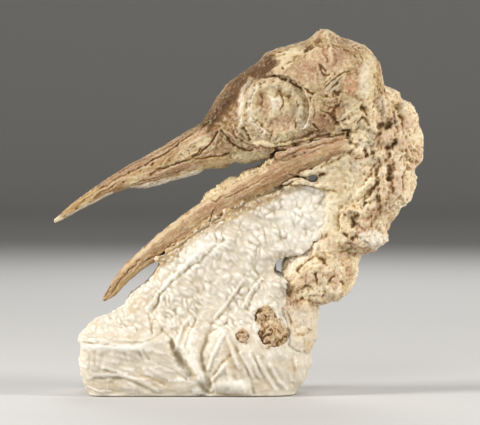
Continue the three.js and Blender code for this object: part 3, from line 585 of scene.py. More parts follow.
class Noise:
    """Repeatable noise over points in space, the same on every run."""

    @staticmethod
    def bits(cell: np.ndarray, seed: int) -> np.ndarray:
        """Scramble whole-number cells.

        Args:
            cell: Whole-number positions, one row each.
            seed: Which of the noise's patterns.

        Returns:
            One 32-bit number for each row.
        """
        c = (cell.astype(np.int64) & 0xFFFFFFFF).astype(np.uint32)
        h = c[:, 0] * np.uint32(0x8DA6B343)
        h ^= c[:, 1] * np.uint32(0xD8163841)
        h ^= c[:, 2] * np.uint32(0xCB1AB31F)
        h += np.uint32((seed * 0x9E3779B1 + 12345) & 0xFFFFFFFF)
        for shift, factor in ((15, 0x2C1B3C6D), (12, 0x297A2D39), (15, 0x9E3779B1)):
            h ^= h >> np.uint32(shift)
            h *= np.uint32(factor)
        return h ^ (h >> np.uint32(16))

    @staticmethod
    def thirds(bits: np.ndarray) -> np.ndarray:
        """Split each 32-bit number into three values from 0 to 1."""
        parts = [(bits >> np.uint32(10 * k)) & np.uint32(1023) for k in range(3)]
        return np.stack(parts, 1).astype(np.float64) / 1023.0

    @staticmethod
    def smooth(points: np.ndarray, seed: int) -> np.ndarray:
        """Gradient noise.

        Args:
            points: Positions, one cell being 1 unit wide.
            seed: Which of the noise's patterns.

        Returns:
            One value for each point, from about -1 to 1.
        """
        cell = np.floor(points).astype(np.int64)
        part = points - cell
        fade = part**3 * (part * (part * 6 - 15) + 10)
        total = np.zeros(len(points))
        for corner in np.ndindex(2, 2, 2):
            at = np.array(corner)
            slope = Noise.thirds(Noise.bits(cell + at, seed)) * 2 - 1
            weight = np.prod(np.where(at, fade, 1 - fade), axis=1)
            total += weight * np.sum(slope * (part - at), axis=1)
        return total * 1.5

    @staticmethod
    def layered(points: np.ndarray, octaves: int, seed: int) -> np.ndarray:
        """Smooth noise in several sizes, each half as large and half as strong as the last.

        Args:
            points: Positions, the largest cell being 1 unit wide.
            octaves: How many sizes.
            seed: Which of the noise's patterns.

        Returns:
            One value for each point, from about -1 to 1.
        """
        total = np.zeros(len(points))
        for k in range(octaves):
            total += 0.5**k * Noise.smooth(points * 2.03**k + 17.3 * k, seed + 31 * k)
        return total

    @staticmethod
    def cells(points: np.ndarray, seed: int) -> tuple[np.ndarray, np.ndarray]:
        """Distances to points scattered one to a unit cell.

        Args:
            points: Positions, one cell being 1 unit wide.
            seed: Which of the noise's patterns.

        Returns:
            How far each position is from the nearest scattered point, and from the second nearest.
        """
        cell = np.floor(points).astype(np.int64)
        near = np.full(len(points), 9.0)
        far = near.copy()
        for corner in np.ndindex(3, 3, 3):
            home = cell + np.array(corner) - 1
            gap = np.linalg.norm(home + Noise.thirds(Noise.bits(home, seed)) - points, axis=1)
            far = np.minimum(far, np.maximum(near, gap))
            near = np.minimum(near, gap)
        return near, far

    @staticmethod
    def gouges(points: np.ndarray, cell: float, angle: np.ndarray, spread: float,
               shape: tuple[float, float], seed: int) -> np.ndarray:
        """Overlapping scoops of a round-ended tool.

        Args:
            points: Positions in millimetres.
            cell: One scoop is cut in each cube of this size.
            angle: Direction of the strokes at each point, in radians from x towards z.
            spread: How far a stroke may turn from that, in radians.
            shape: Straight length and half width of a scoop, as shares of the cell.
            seed: Which of the patterns.

        Returns:
            Height of the surface left, from -1 in the deepest cut to 0 on the ridges between.
        """
        scaled = points / cell
        home = np.floor(scaled).astype(np.int64)
        length, width = shape
        best = np.full(len(points), 4.0)
        for corner in np.ndindex(3, 3, 3):
            at = home + np.array(corner) - 1
            bits = Noise.bits(at, seed)
            jitter = Noise.thirds(bits)
            turn = angle + spread * (2 * Noise.thirds(Noise.bits(at, seed + 7))[:, 0] - 1)
            gap = scaled - at - jitter
            along = gap[:, 0] * np.cos(turn) + gap[:, 2] * np.sin(turn)
            across = gap[:, 2] * np.cos(turn) - gap[:, 0] * np.sin(turn)
            past = np.maximum(np.abs(along) - length / 2, 0)
            best = np.minimum(best, (past**2 + across**2 + 0.3 * gap[:, 1] ** 2) / width**2)
        return np.minimum(best, 1.3) - 1


class Skin:
    """One piece's surface while it is carved, in millimetres.

    The carving's lines wander by warp. An edge that lies less than rim below the common face is brought
    up to it, and one that lies more than deep below is left where it is.
    """

    warp = 0.55
    rim = 1.2
    deep = 4.5

    def __init__(self, mesh: bpy.types.Mesh) -> None:
        """Read a piece's mesh.

        Args:
            mesh: A fine closed mesh, in metres.
        """
        self.mesh = mesh
        count = len(mesh.vertices)
        flat = np.empty(count * 3)
        mesh.vertices.foreach_get("co", flat)
        self.points = flat.reshape(-1, 3) / MM
        pairs = np.empty(len(mesh.edges) * 2, dtype=np.int64)
        mesh.edges.foreach_get("vertices", pairs)
        self.pairs = pairs.reshape(-1, 2)
        self.links = np.maximum(np.bincount(pairs, minlength=count), 1)
        self.relax(14)
        self.normals = self.find_normals()
        self.height = np.zeros(count)
        self.stain_and_shadow = np.zeros(count)
        self.added_wear_and_highlight = np.zeros(count)
        self.bone = np.zeros(count)
        self.plaster = np.zeros(count)
        self.crust = np.zeros(count)
        self.tint = np.zeros((count, 4))
        self.retake()

    def retake(self) -> None:
        """Take the carving's own coordinates afresh from the points."""
        p = self.points
        wander = [Noise.layered(p / 3.1 + 40 * k, 2, 90 + k) + 0.35 * Noise.smooth(p / 0.9, 70 + k)
                  for k in range(2)]
        self.flat = np.stack([p[:, 0] + self.warp * wander[0], p[:, 2] + self.warp * wander[1]], 1)
        self.facing = ramp(np.abs(self.normals[:, 1]), 0.05, 0.45)

    def away(self, middle: tuple[float, ...]) -> np.ndarray:
        """Each point's distance from a place on the side."""
        return np.hypot(self.flat[:, 0] - middle[0], self.flat[:, 1] - middle[1])

    def mean(self, values: np.ndarray) -> np.ndarray:
        """Average values over each point's neighbours.

        Args:
            values: One value, or one row, for each point.

        Returns:
            The averages, in the same form.
        """
        a, b = self.pairs[:, 0], self.pairs[:, 1]
        count = len(self.points)
        if values.ndim == 1:
            total = np.bincount(a, values[b], count) + np.bincount(b, values[a], count)
            return total / self.links
        return np.stack([self.mean(values[:, k]) for k in range(values.shape[1])], 1)

    def blur(self, values: np.ndarray, rounds: int) -> np.ndarray:
        """Spread values over the surface.

        Args:
            values: One value, or one row, for each point.
            rounds: How many steps of averaging.

        Returns:
            The softened values.
        """
        for _ in range(rounds):
            values = 0.5 * values + 0.5 * self.mean(values)
        return values

    def relax(self, rounds: int) -> None:
        """Smooth the points without shrinking the piece.

        Args:
            rounds: How many times to smooth in and out again.
        """
        for _ in range(rounds):
            self.points = self.points + 0.5 * (self.mean(self.points) - self.points)
            self.points = self.points - 0.52 * (self.mean(self.points) - self.points)

    def find_normals(self) -> np.ndarray:
        """Work out which way the surface faces.

        Returns:
            An outward unit normal for each point.
        """
        mesh = self.mesh
        mesh.calc_loop_triangles()
        tri = np.empty(len(mesh.loop_triangles) * 3, dtype=np.int64)
        mesh.loop_triangles.foreach_get("vertices", tri)
        tri = tri.reshape(-1, 3)
        a, b, c = (self.points[tri[:, k]] for k in range(3))
        face = np.cross(b - a, c - a)
        total = np.zeros_like(self.points)
        for k in range(3):
            for axis in range(3):
                total[:, axis] += np.bincount(tri[:, k], face[:, axis], len(total))
        return total / np.maximum(np.linalg.norm(total, axis=1, keepdims=True), 1e-12)

    def distance(self, path: Path, reach: float) -> tuple[np.ndarray, np.ndarray]:
        """Find the points near a line drawn on the side.

        Args:
            path: The line's corners.
            reach: How far from it to look.

        Returns:
            Indices of the points within its box, and how far each is from the line.
        """
        line = np.array(path)
        low, high = line.min(0) - reach, line.max(0) + reach
        found = np.nonzero(np.all((self.flat > low) & (self.flat < high), axis=1))[0]
        q = self.flat[found]
        best = np.full(len(found), 1e9)
        for a, b in zip(line[:-1], line[1:]):
            run = b - a
            t = np.clip((q - a) @ run / max(run @ run, 1e-9), 0, 1)
            best = np.minimum(best, np.linalg.norm(q - a - t[:, None] * run, axis=1))
        return found, best

    def cut(self, marks: tuple[Mark, ...], stain_and_shadow: float = 1.0, widen: float = 1.0,
            ragged: float = 0.75, raised_wear_and_highlight: float = 0.6) -> None:
        """Cut or raise a set of marks on both sides.

        Args:
            marks: The marks.
            stain_and_shadow: Their grime and painted shadow against the amounts given.
            widen: Their width against the widths given.
            ragged: How much their width varies along them.
            raised_wear_and_highlight: Rubbing and painted highlight on the raised ones.
        """
        uneven = 1 + 0.6 * ragged * Noise.layered(self.points / 2.3, 2, 5)
        spread = np.maximum(1 + ragged * Noise.layered(self.points / 1.5, 3, 6), 0.3)
        for mark in marks:
            width = mark.width * widen
            found, gap = self.distance(mark.path, 3.4 * width + 0.6)
            gap = gap / spread[found]
            shape = np.exp(-((gap / (0.92 * width)) ** 2)) * self.facing[found]
            self.height[found] += mark.height * shape * uneven[found]
            # Raised marks are made lighter, partly from rubbing and partly as a painted highlight.
            if mark.height > 0:
                self.added_wear_and_highlight[found] += raised_wear_and_highlight * shape
            # Darkening along the mark: grime in cracks and pits, and painted shadow on the marks noted as
            # shadows.
            dirt_and_shade = 0.7 * np.exp(-((gap / (width + 0.04)) ** 2))
            dirt_and_shade += 0.3 * np.exp(-((gap / (2.1 * width)) ** 2))
            dirt_and_shade *= stain_and_shadow * mark.stain_and_shadow * np.clip(0.92 * uneven[found], 0, 1)
            dirt_and_shade *= self.facing[found] ** (0.5 / width)
            self.stain_and_shadow[found] = np.maximum(self.stain_and_shadow[found], dirt_and_shade)

    def dab(self, patches: tuple[Patch, ...]) -> None:
        """Lay ovals of other colours, with ragged rims.

        Args:
            patches: The ovals, in the order they are laid.
        """
        ragged = 0.28 * Noise.layered(self.points / 2.2, 3, 44)
        for patch in patches:
            turn = math.radians(patch.tilt)
            gap = self.flat - np.array([patch.x, patch.z])
            along = gap[:, 0] * math.cos(turn) + gap[:, 1] * math.sin(turn)
            across = gap[:, 1] * math.cos(turn) - gap[:, 0] * math.sin(turn)
            radius = np.sqrt((along / patch.half_x) ** 2 + (across / patch.half_z) ** 2) + ragged
            amount = patch.amount * np.clip((1.2 - radius) / 0.5, 0, 1)
            self.wash(patch.tone, amount)

    def paint(self, bands: tuple[Band, ...]) -> None:
        """Lay stripes of other colours, with ragged edges.

        Args:
            bands: The stripes, in the order they are laid.
        """
        ragged = 1 + 0.5 * Noise.layered(self.points / 2.0, 3, 45)
        for band in bands:
            found, gap = self.distance(band.path, 2 * band.half)
            amount = np.zeros(len(self.points))
            amount[found] = band.amount * ramp(gap / (band.half * ragged[found]), 1.3, 0.6)
            self.wash(band.tone, amount)

    def level(self, ground: "Ground", share: float = 1.0) -> None:
        """Bring the rounded edges where pieces meet up to the common face.

        Args:
            ground: The model's face, with its narrow grooves filled.
            share: How much of the way to go.
        """
        face = ground.depth(self.points)
        below = face - np.abs(self.points[:, 1])
        slope = self.deep / (self.deep - self.rim)
        kept = np.where(below < self.rim, 0.0, (below - self.rim) * slope)
        kept = np.where(below > self.deep, below, kept)
        clear = ramp(np.hypot(self.points[:, 0] - EYE[0], self.points[:, 2] - EYE[1]), 12, 14)
        lift = np.where(below > 0, below - kept, 0.0) * share
        lift = self.blur(lift * clear, 3)
        self.points[:, 1] += np.sign(self.points[:, 1]) * lift
        self.relax(4)
        self.normals = self.find_normals()
        self.retake()

    def wash(self, tone: Tone, amount: np.ndarray) -> None:
        """Lay a colour over each point, by its own amount from 0 to 1."""
        self.tint += amount[:, None] * (np.array([*tone.value, 1.0]) - self.tint)

    def settle(self) -> None:
        """Move the points to their heights, and write the mesh and its colours."""
        mesh = self.mesh
        self.points = self.points + self.normals * self.height[:, None]
        fine = self.height - self.blur(self.height, 6)
        broad = self.height - self.blur(self.height, 30)
        # Painted shade: hollows found from the carved height, darkened in the material where light would
        # reach them less.
        painted_hollow_shade = np.clip(-(fine / 0.3 + broad / 0.8) - 0.12, 0, 1)
        # Lighter on ridges and tops, partly from rubbing and partly as a painted highlight.
        wear_and_highlight = np.clip(fine / 0.14 + broad / 0.7 - 0.05 + self.added_wear_and_highlight, 0, 1)
        mesh.vertices.foreach_set("co", (self.points * MM).ravel())
        mesh.update()
        self.tint[:, :3] /= np.maximum(self.tint[:, 3:], 1e-3)
        # The Finish colour holds bone, plaster, stains with some painted shadow, and the painted shade of
        # the hollows.
        finish = np.stack([self.bone, self.plaster, np.clip(self.stain_and_shadow, 0, 1), painted_hollow_shade], 1)
        for name, values in (("Finish", finish), ("Tint", self.tint)):
            layer = mesh.color_attributes.new(name, "FLOAT_COLOR", "POINT")
            layer.data.foreach_set("color", np.clip(values, 0, 1).astype(np.float32).ravel())
        for name, values in (("Wear and highlight", wear_and_highlight), ("Crust", self.crust)):
            layer = mesh.attributes.new(name, "FLOAT", "POINT")
            layer.data.foreach_set("value", values.astype(np.float32))
        mesh.polygons.foreach_set("use_smooth", np.ones(len(mesh.polygons), dtype=bool))


class Ground:
    """How far the model's face stands out from its middle plane, with narrow grooves filled."""

    cell = 0.5
    margin = 6

    def __init__(self, skins: list[Skin], groove: float) -> None:
        """Measure the face.

        Args:
            skins: All the surfaces that make up the face.
            groove: Width of the widest groove to fill, in millimetres.
        """
        points = np.concatenate([skin.points for skin in skins])
        self.low = points.min(0)[[0, 2]] - self.margin
        size = np.ceil((points.max(0)[[0, 2]] + self.margin - self.low) / self.cell).astype(int)
        at = ((points[:, [0, 2]] - self.low) / self.cell).astype(int)
        grid = np.zeros(size)
        np.maximum.at(grid, (at[:, 0], at[:, 1]), np.abs(points[:, 1]))
        reach = int(groove / 2 / self.cell)
        for pick, sign in ((np.maximum, 1), (np.minimum, -1)):
            made = grid.copy()
            for i, j in np.ndindex(2 * reach + 1, 2 * reach + 1):
                if (i - reach) ** 2 + (j - reach) ** 2 <= reach**2:
                    made = pick(made, np.roll(grid, (i - reach, j - reach), (0, 1)))
            grid = made
        for _ in range(2):
            grid = (grid * 2 + sum(np.roll(grid, step, axis) for step in (-1, 1) for axis in (0, 1))) / 6
        self.grid = grid

    def depth(self, points: np.ndarray) -> np.ndarray:
        """Read the face between its cells.

        Args:
            points: Positions in millimetres.

        Returns:
            How far the face stands out from the middle plane at each of them.
        """
        spot = (points[:, [0, 2]] - self.low) / self.cell - 0.5
        home = np.floor(spot).astype(int)
        part = spot - home
        total = np.zeros(len(points))
        for i, j in np.ndindex(2, 2):
            weight = (part[:, 0] if i else 1 - part[:, 0]) * (part[:, 1] if j else 1 - part[:, 1])
            total += weight * self.grid[home[:, 0] + i, home[:, 1] + j]
        return total


class Nodes:
    """Small helper that lays nodes in a tree."""

    def __init__(self, tree: bpy.types.NodeTree) -> None:
        """Remember the tree."""
        self.tree = tree

    def add(self, kind: str, **settings: object) -> bpy.types.Node:
        """Add a node.

        Args:
            kind: Blender's name for the node.
            **settings: The node's options.

        Returns:
            The node.
        """
        node = self.tree.nodes.new(kind)
        for key, value in settings.items():
            setattr(node, key, value)
        return node

    def feed(self, socket: bpy.types.NodeSocket, value: object) -> None:
        """Give an input its value.

        Args:
            socket: The input.
            value: A socket to link it to, or a plain value, in which a colour may leave out its alpha.
        """
        if isinstance(value, bpy.types.NodeSocket):
            self.tree.links.new(value, socket)
        elif isinstance(value, tuple) and socket.type == "RGBA" and len(value) == 3:
            socket.default_value = (*value, 1.0)
        else:
            socket.default_value = value

    def join(self, kind: str, wires: dict[str | int, object], **settings: object) -> bpy.types.Node:
        """Add a node, set its options and feed its inputs.

        Args:
            kind: Blender's name for the node.
            wires: Socket or plain value for each input, by the input's name or number.
            **settings: The node's options.

        Returns:
            The node.
        """
        node = self.add(kind, **settings)
        for key, value in wires.items():
            self.feed(node.inputs[key], value)
        return node

    def attribute(self, name: str) -> bpy.types.Node:
        """Read one of the carved attributes."""
        return self.add("ShaderNodeAttribute", attribute_name=name)

    def math(self, operation: str, *values: object, clamp: bool = False) -> bpy.types.NodeSocket:
        """Combine numbers.

        Args:
            operation: Name of the sum.
            *values: Sockets or numbers.
            clamp: Whether to keep the result from 0 to 1.

        Returns:
            The result's socket.
        """
        wires = dict(enumerate(values))
        return self.join("ShaderNodeMath", wires, operation=operation, use_clamp=clamp).outputs[0]

    def mix(self, share: object, low: object, high: object,
            blend: str = "MIX") -> bpy.types.NodeSocket:
        """Mix two colours.

        Args:
            share: How much of the second, from 0 to 1.
            low: The first colour.
            high: The second colour.
            blend: How the two are mixed.

        Returns:
            The mixed colour's socket.
        """
        wires = {0: share, 6: low, 7: high}
        return self.join("ShaderNodeMix", wires, data_type="RGBA", blend_type=blend).outputs[2]

    def remap(self, value: object, low: float, high: float, to_low: float = 0.0,
              to_high: float = 1.0) -> bpy.types.NodeSocket:
        """Stretch a value's range, and clamp it.

        Args:
            value: Socket or number.
            low: Start of its range.
            high: End of its range.
            to_low: What the start becomes.
            to_high: What the end becomes.

        Returns:
            The result's socket.
        """
        wires = dict(enumerate((value, low, high, to_low, to_high)))
        return self.join("ShaderNodeMapRange", wires).outputs[0]

    def noise(self, place: object, scale: object, detail: float,
              roughness: float = 0.6) -> bpy.types.NodeSocket:
        """Cloudy noise from 0 to 1.

        Args:
            place: Coordinates to read it at.
            scale: Clouds to a metre.
            detail: How many finer sizes it has.
            roughness: Strength of each finer size against the last.

        Returns:
            The noise's socket.
        """
        wires = {"Vector": place, "Scale": scale, "Detail": detail, "Roughness": roughness}
        return self.join("ShaderNodeTexNoise", wires).outputs[0]

    def group(self, tree: bpy.types.NodeTree, values: dict[str, object]) -> bpy.types.Node:
        """Place a shared group with its values."""
        return self.join("ShaderNodeGroup", values, node_tree=tree)


class SharedGroup:
    """A shader node group that is built once and used in several materials."""

    title = ""
    takes: tuple[tuple[str, str], ...] = ()
    gives: tuple[tuple[str, str], ...] = ()

    @classmethod
    def tree(cls) -> bpy.types.NodeTree:
        """Build the group, unless it is there already.

        Returns:
            The group.
        """
        found = bpy.data.node_groups.get(cls.title)
        if found:
            return found
        made = bpy.data.node_groups.new(cls.title, "ShaderNodeTree")
        for name, kind in cls.takes:
            made.interface.new_socket(name=name, in_out="INPUT", socket_type=kind)
        for name, kind in cls.gives:
            made.interface.new_socket(name=name, in_out="OUTPUT", socket_type=kind)
        kit = Nodes(made)
        taken = kit.add("NodeGroupInput").outputs
        given = kit.add("NodeGroupOutput").inputs
        for name, value in cls.fill(kit, taken).items():
            kit.feed(given[name], value)
        return made

    @classmethod
    def fill(cls, kit: Nodes, taken: bpy.types.NodeOutputs) -> dict[str, object]:
        """Lay the group's nodes and name what it puts out, given its inputs."""
        raise NotImplementedError


class Grain(SharedGroup):
    """Fine mineral grain: clouds of tone, dark specks, and a height for bump."""

    title = "mineral_grain"
    takes = (("Place", "NodeSocketVector"), ("Per metre", "NodeSocketFloat"))
    gives = (("Cloud", "NodeSocketFloat"), ("Speck", "NodeSocketFloat"), ("Height", "NodeSocketFloat"))

    @classmethod
    def fill(cls, kit: Nodes, taken: bpy.types.NodeOutputs) -> dict[str, object]:
        """Lay the noises.

        Args:
            kit: Lays the nodes.
            taken: The group's inputs, where Per metre is how many grains lie in a metre.

        Returns:
            A socket for each output.
        """
        place, scale = taken["Place"], taken["Per metre"]
        cloud = kit.noise(place, kit.math("MULTIPLY", scale, 0.12), 5.0, 0.62)
        fine = kit.noise(place, scale, 3.0, 0.7)
        wires = {"Vector": place, "Scale": kit.math("MULTIPLY", scale, 0.7)}
        cells = kit.join("ShaderNodeTexVoronoi", wires, feature="F1")
        speck = kit.remap(cells.outputs["Distance"], 0.1, 0.5)
        height = kit.math("ADD", fine, kit.math("MULTIPLY", speck, 0.35))
        return {"Cloud": kit.remap(cloud, 0.32, 0.68), "Speck": kit.remap(fine, 0.3, 0.7),
                "Height": height}


class AgeingAndPaintedLight(SharedGroup):
    """Painted shade in the hollows, grime in stains with painted shadow along some marks, and rubbing with
    painted highlights on the ridges.
    """

    title = "ageing_and_painted_light"
    takes = tuple((name, "NodeSocketColor") for name in ("Color", "Dirt and shade", "Dust and highlight", "Shade")) + tuple(
        (name, "NodeSocketFloat") for name in ("Stain and shadow", "Painted hollow shade", "Wear and highlight", "Speck", "Cloud", "Wear and highlight strength"))
    gives = (("Color", "NodeSocketColor"), ("Dirt and shade", "NodeSocketFloat"))

    @classmethod
    def fill(cls, kit: Nodes, taken: bpy.types.NodeOutputs) -> dict[str, object]:
        """Lay the layers of age over the clean colour.

        Args:
            kit: Lays the nodes.
            taken: The group's inputs.

        Returns:
            A socket for each output.
        """
        speckled = kit.mix(1.0, taken["Color"], kit.remap(taken["Speck"], 0, 1, 0.8, 1.16), "MULTIPLY")
        # Ridges lighten towards the pale colour, partly from rubbing and partly as a painted highlight.
        wear_and_highlight = kit.math("MULTIPLY", taken["Wear and highlight"], kit.remap(taken["Cloud"], 0, 1, 0.5, 1.0))
        wear_and_highlight = kit.math("MULTIPLY", wear_and_highlight, taken["Wear and highlight strength"])
        pale = kit.mix(wear_and_highlight, speckled, taken["Dust and highlight"])
        # Darkening: painted shade from the hollows, added to the stains, some of which are painted shadow.
        deep = kit.math("MULTIPLY_ADD", taken["Painted hollow shade"], 0.7, taken["Stain and shadow"], clamp=True)
        rough = kit.remap(taken["Speck"], 0, 1, 0.75, 1.15)
        deep = kit.math("MULTIPLY", deep, rough, clamp=True)
        # Painted shade: darker spots are multiplied by the shade colour.
        with_painted_shade = kit.mix(kit.remap(deep, 0.0, 0.5), pale, kit.mix(1.0, pale, taken["Shade"], "MULTIPLY"))
        # The darkest spots take the grime colour: grime in stains and cracks, painted shade in the deepest
        # hollows.
        dark = kit.mix(kit.remap(deep, 0.35, 1.0, 0.0, 0.92), with_painted_shade, taken["Dirt and shade"])
        return {"Color": dark, "Dirt and shade": deep}


@dataclass(frozen=True)
class Finish:
    """How one piece's surface looks. Colours are linear."""

    name: str
    bone: Colour = (0.41, 0.245, 0.122)
    bone_deep: Colour = (0.27, 0.157, 0.078)
    bone_olive: Colour = (0.40, 0.295, 0.135)
    stone: Colour = (0.72, 0.59, 0.36)
    stone_deep: Colour = (0.50, 0.37, 0.20)
    plaster: Colour = (0.695, 0.64, 0.53)
    plaster_deep: Colour = (0.58, 0.515, 0.40)
    # Colour of grime in stains and cracks, and of painted shade in the deepest hollows and shadow marks.
    dirt_and_shade: Colour = (0.10, 0.056, 0.022)
    # Colour that ridges lighten towards, partly from rubbing and partly as a painted highlight.
    dust_and_highlight: Colour = (0.79, 0.705, 0.53)
    # Painted shade: the colour that hollows and stains are multiplied by.
    shade: Colour = (0.72, 0.57, 0.38)
    roughness: float = 0.74
    # Strength of the ridges' lightening, partly rubbing and partly painted highlight.
    wear_and_highlight_strength: float = 0.5
    grain: float = 0.5

    def material(self) -> bpy.types.Material:
        """Build the material that reads a piece's carved attributes.

        Returns:
            The material.
        """
        made = bpy.data.materials.new(self.name)
        made.use_nodes = True
        tree = made.node_tree
        shader = tree.nodes["Principled BSDF"]
        shader.inputs["Specular IOR Level"].default_value = 0.35
        kit = Nodes(tree)
        place = kit.add("ShaderNodeTexCoord").outputs["Object"]
        finish, tint = kit.attribute("Finish"), kit.attribute("Tint")
        masks = kit.add("ShaderNodeSeparateColor")
        kit.feed(masks.inputs[0], finish.outputs["Color"])
        coarse = kit.group(Grain.tree(), {"Place": place, "Per metre": COARSE_PER_METRE}).outputs
        fine = kit.group(Grain.tree(), {"Place": place, "Per metre": FINE_PER_METRE}).outputs
        hue = kit.remap(kit.noise(place, BLOTCHES_PER_METRE, 3.0), 0.42, 0.62)
        bone = kit.mix(hue, kit.mix(coarse["Cloud"], self.bone_deep, self.bone), self.bone_olive)
        stone = kit.mix(coarse["Cloud"], self.stone_deep, self.stone)
        plaster = kit.mix(coarse["Cloud"], self.plaster_deep, self.plaster)
        edge = kit.math("ADD", masks.outputs[0], kit.remap(fine["Cloud"], 0, 1, -0.13, 0.13))
        base = kit.mix(kit.remap(edge, 0.3, 0.7), stone, bone)
        flecks = kit.remap(coarse["Speck"], 0, 1, 1.0 - 0.6 * self.grain, 1.0 + 0.36 * self.grain)
        base = kit.mix(masks.outputs[1], kit.mix(1.0, base, flecks, "MULTIPLY"), plaster)
        toned = kit.mix(kit.remap(coarse["Cloud"], 0, 1, 0.0, 0.3), tint.outputs["Color"], base)
        base = kit.mix(tint.outputs["Alpha"], base, toned)
        aged = kit.group(AgeingAndPaintedLight.tree(), {
            "Color": base, "Dirt and shade": self.dirt_and_shade, "Dust and highlight": self.dust_and_highlight, "Shade": self.shade,
            "Stain and shadow": masks.outputs[2], "Painted hollow shade": finish.outputs["Alpha"],
            "Wear and highlight": kit.attribute("Wear and highlight").outputs["Fac"], "Speck": fine["Speck"],
            "Cloud": coarse["Cloud"], "Wear and highlight strength": self.wear_and_highlight_strength})
        dulled = kit.math("MULTIPLY_ADD", aged.outputs["Dirt and shade"], 0.15, self.roughness)
        kit.feed(shader.inputs["Base Color"], aged.outputs["Color"])
        kit.feed(shader.inputs["Roughness"], dulled)
        bump = kit.add("ShaderNodeBump")
        bump.inputs["Strength"].default_value = self.grain
        bump.inputs["Distance"].default_value = 0.2 * MM
        kit.feed(bump.inputs["Height"], fine["Height"])
        kit.feed(shader.inputs["Normal"], bump.outputs["Normal"])
        return made


@dataclass(frozen=True)
class Lump:
    """A rounded lump joined to a piece, on both sides of the model, in millimetres."""

    at: Place
    half: Place

    def add(self, joined: bmesh.types.BMesh, side: int) -> None:
        """Put it on one side of a mesh being joined.

        Args:
            joined: The mesh.
            side: -1 for the left side, 1 for the right.
        """
        made = bmesh.ops.create_icosphere(joined, subdivisions=3, radius=1.0)["verts"]
        for vert in made:
            x, y, z = (c * h + a for c, h, a in zip(vert.co, self.half, self.at))
            vert.co = Vector((x, side * y, z)) * MM
        if side < 0:
            faces = {face for vert in made for face in vert.link_faces}
            bmesh.ops.reverse_faces(joined, faces=list(faces))


@dataclass
class Carving:
    """One piece cut as a single closed surface, which stands for CAD solids.

    The surface's grain is voxel wide, swell thickens the solids before carving, and level is how far the
    piece's rounded edges are brought up to the common face.
    """

    name: str
    nodes: tuple[str, ...]
    slot: str
    finish: Finish
    voxel: float = 0.37
    swell: float = 0.27
    level: float = 1.0
    lumps: tuple[Lump, ...] = ()
    skin: Skin = field(init=False, repr=False)
    body: bpy.types.Object = field(init=False, repr=False)

    def block(self) -> None:
        """Join copies of the solids into one fine closed mesh."""
        joined = bmesh.new()
        for node in self.nodes:
            joined.from_mesh(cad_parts[node].data)
        bmesh.ops.remove_doubles(joined, verts=joined.verts, dist=0.002 * MM)
        joined.normal_update()
        for vert in joined.verts:
            vert.co += vert.normal * self.swell * MM
        for lump in self.lumps:
            for side in (-1, 1):
                lump.add(joined, side)
        mesh = bpy.data.meshes.new(self.name)
        joined.to_mesh(mesh)
        joined.free()
        rough = put(self.name, mesh)
        fine = rough.modifiers.new("fine", "REMESH")
        fine.mode = "VOXEL"
        fine.voxel_size = self.voxel * MM
        self.body = put(self.name, plain_mesh(rough, self.name))
        self.skin = Skin(self.body.data)

    def carve(self) -> None:
        """Cut the piece's own relief and mark its colours."""
        raise NotImplementedError

    def close(self) -> None:
        """Write the surface, dress it and hand it to the frame."""
        self.skin.settle()
        self.body.data.materials.clear()
        self.body.data.materials.append(self.finish.material())
        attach(self.body, "root")
        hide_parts(*self.nodes)
        log.info("%s: %d faces", self.name, len(self.body.data.polygons))


def fibres(skin: Skin, middle: Path, length: float, width: float, seed: int) -> np.ndarray:
    """Grain of a long bone.

    Args:
        skin: The surface.
        middle: Points down the middle of the bone, in x and z.
        length: How long a fibre is.
        width: How thick it is.
        seed: Which of the patterns.

    Returns:
        Height of the grain at each point, from -1 to 1.
    """
    line = np.array(middle)
    x = skin.flat[:, 0]
    run = np.concatenate([[0], np.cumsum(np.linalg.norm(np.diff(line, axis=0), axis=1))])
    along = np.interp(x, line[:, 0], run)
    slope = np.interp(x, line[:-1, 0], np.diff(line[:, 1]) / np.diff(line[:, 0]))
    across = (skin.flat[:, 1] - np.interp(x, line[:, 0], line[:, 1])) / np.sqrt(1 + slope**2)
    along = along + 0.4 * across * slope
    q = np.stack([along / length, across / width, skin.points[:, 1] / (1.6 * width)], 1)
    valleys = np.abs(Noise.smooth(q * np.array([0.6, 0.45, 0.45]), seed + 9))
    return 0.6 * Noise.layered(q, 3, seed) - 0.5 * valleys


def rubble(skin: Skin, size: float, seed: int, crease: float = 0.7, upright: float = 1.0) -> np.ndarray:
    """Lumps with creases between them, as in rough stone or weathered bone.

    Args:
        skin: The surface.
        size: Width of a lump in millimetres.
        seed: Which of the patterns.
        crease: Depth of the creases against the lumps.
        upright: Height of a lump against its width.

    Returns:
        Height, from about -1 in a crease to 0.5 on a lump.
    """
    at = skin.points / (size * np.array([1.0, 1.0, upright]))
    wander = [Noise.layered(at * 1.1, 2, seed + k) for k in range(3)]
    near, far = Noise.cells(at + 0.45 * np.stack(wander, 1), seed)
    edge = np.exp(-(((far - near) / 0.34) ** 1.3))
    broken = ramp(Noise.smooth(at / 1.7, seed + 5), -0.6, 0.4)
    return 0.5 - 0.75 * near - crease * edge * broken


def wrinkles(skin: Skin, size: float, seed: int, upright: float = 1.0) -> np.ndarray:
    """Thin wandering ridges.

    Args:
        skin: The surface.
        size: Spacing of the ridges in millimetres.
        seed: Which of the patterns.
        upright: How far they are drawn out up and down.

    Returns:
        1 on a ridge, 0 between.
    """
    at = skin.points / (size * np.array([1.0, 1.0, upright]))
    wander = [Noise.layered(at * 0.8, 2, seed + k) for k in range(3)]
    return np.clip(1 - 2.6 * np.abs(Noise.layered(at + 0.5 * np.stack(wander, 1), 2, seed)), 0, 1) ** 1.4


def pits(skin: Skin, size: float, share: float, seed: int) -> np.ndarray:
    """Scattered round holes.

    Args:
        skin: The surface.
        size: Spacing of the holes in millimetres.
        share: How much of the surface has them, from 0 to 1.
        seed: Which of the patterns.

    Returns:
        1 at the middle of a hole, 0 away from it.
    """
    near, _ = Noise.cells(skin.points / size, seed)
    here = ramp(Noise.layered(skin.points / (4 * size), 2, seed + 3), 0.35 - share, 0.75 - share)
    return np.exp(-((near / 0.3) ** 2)) * here


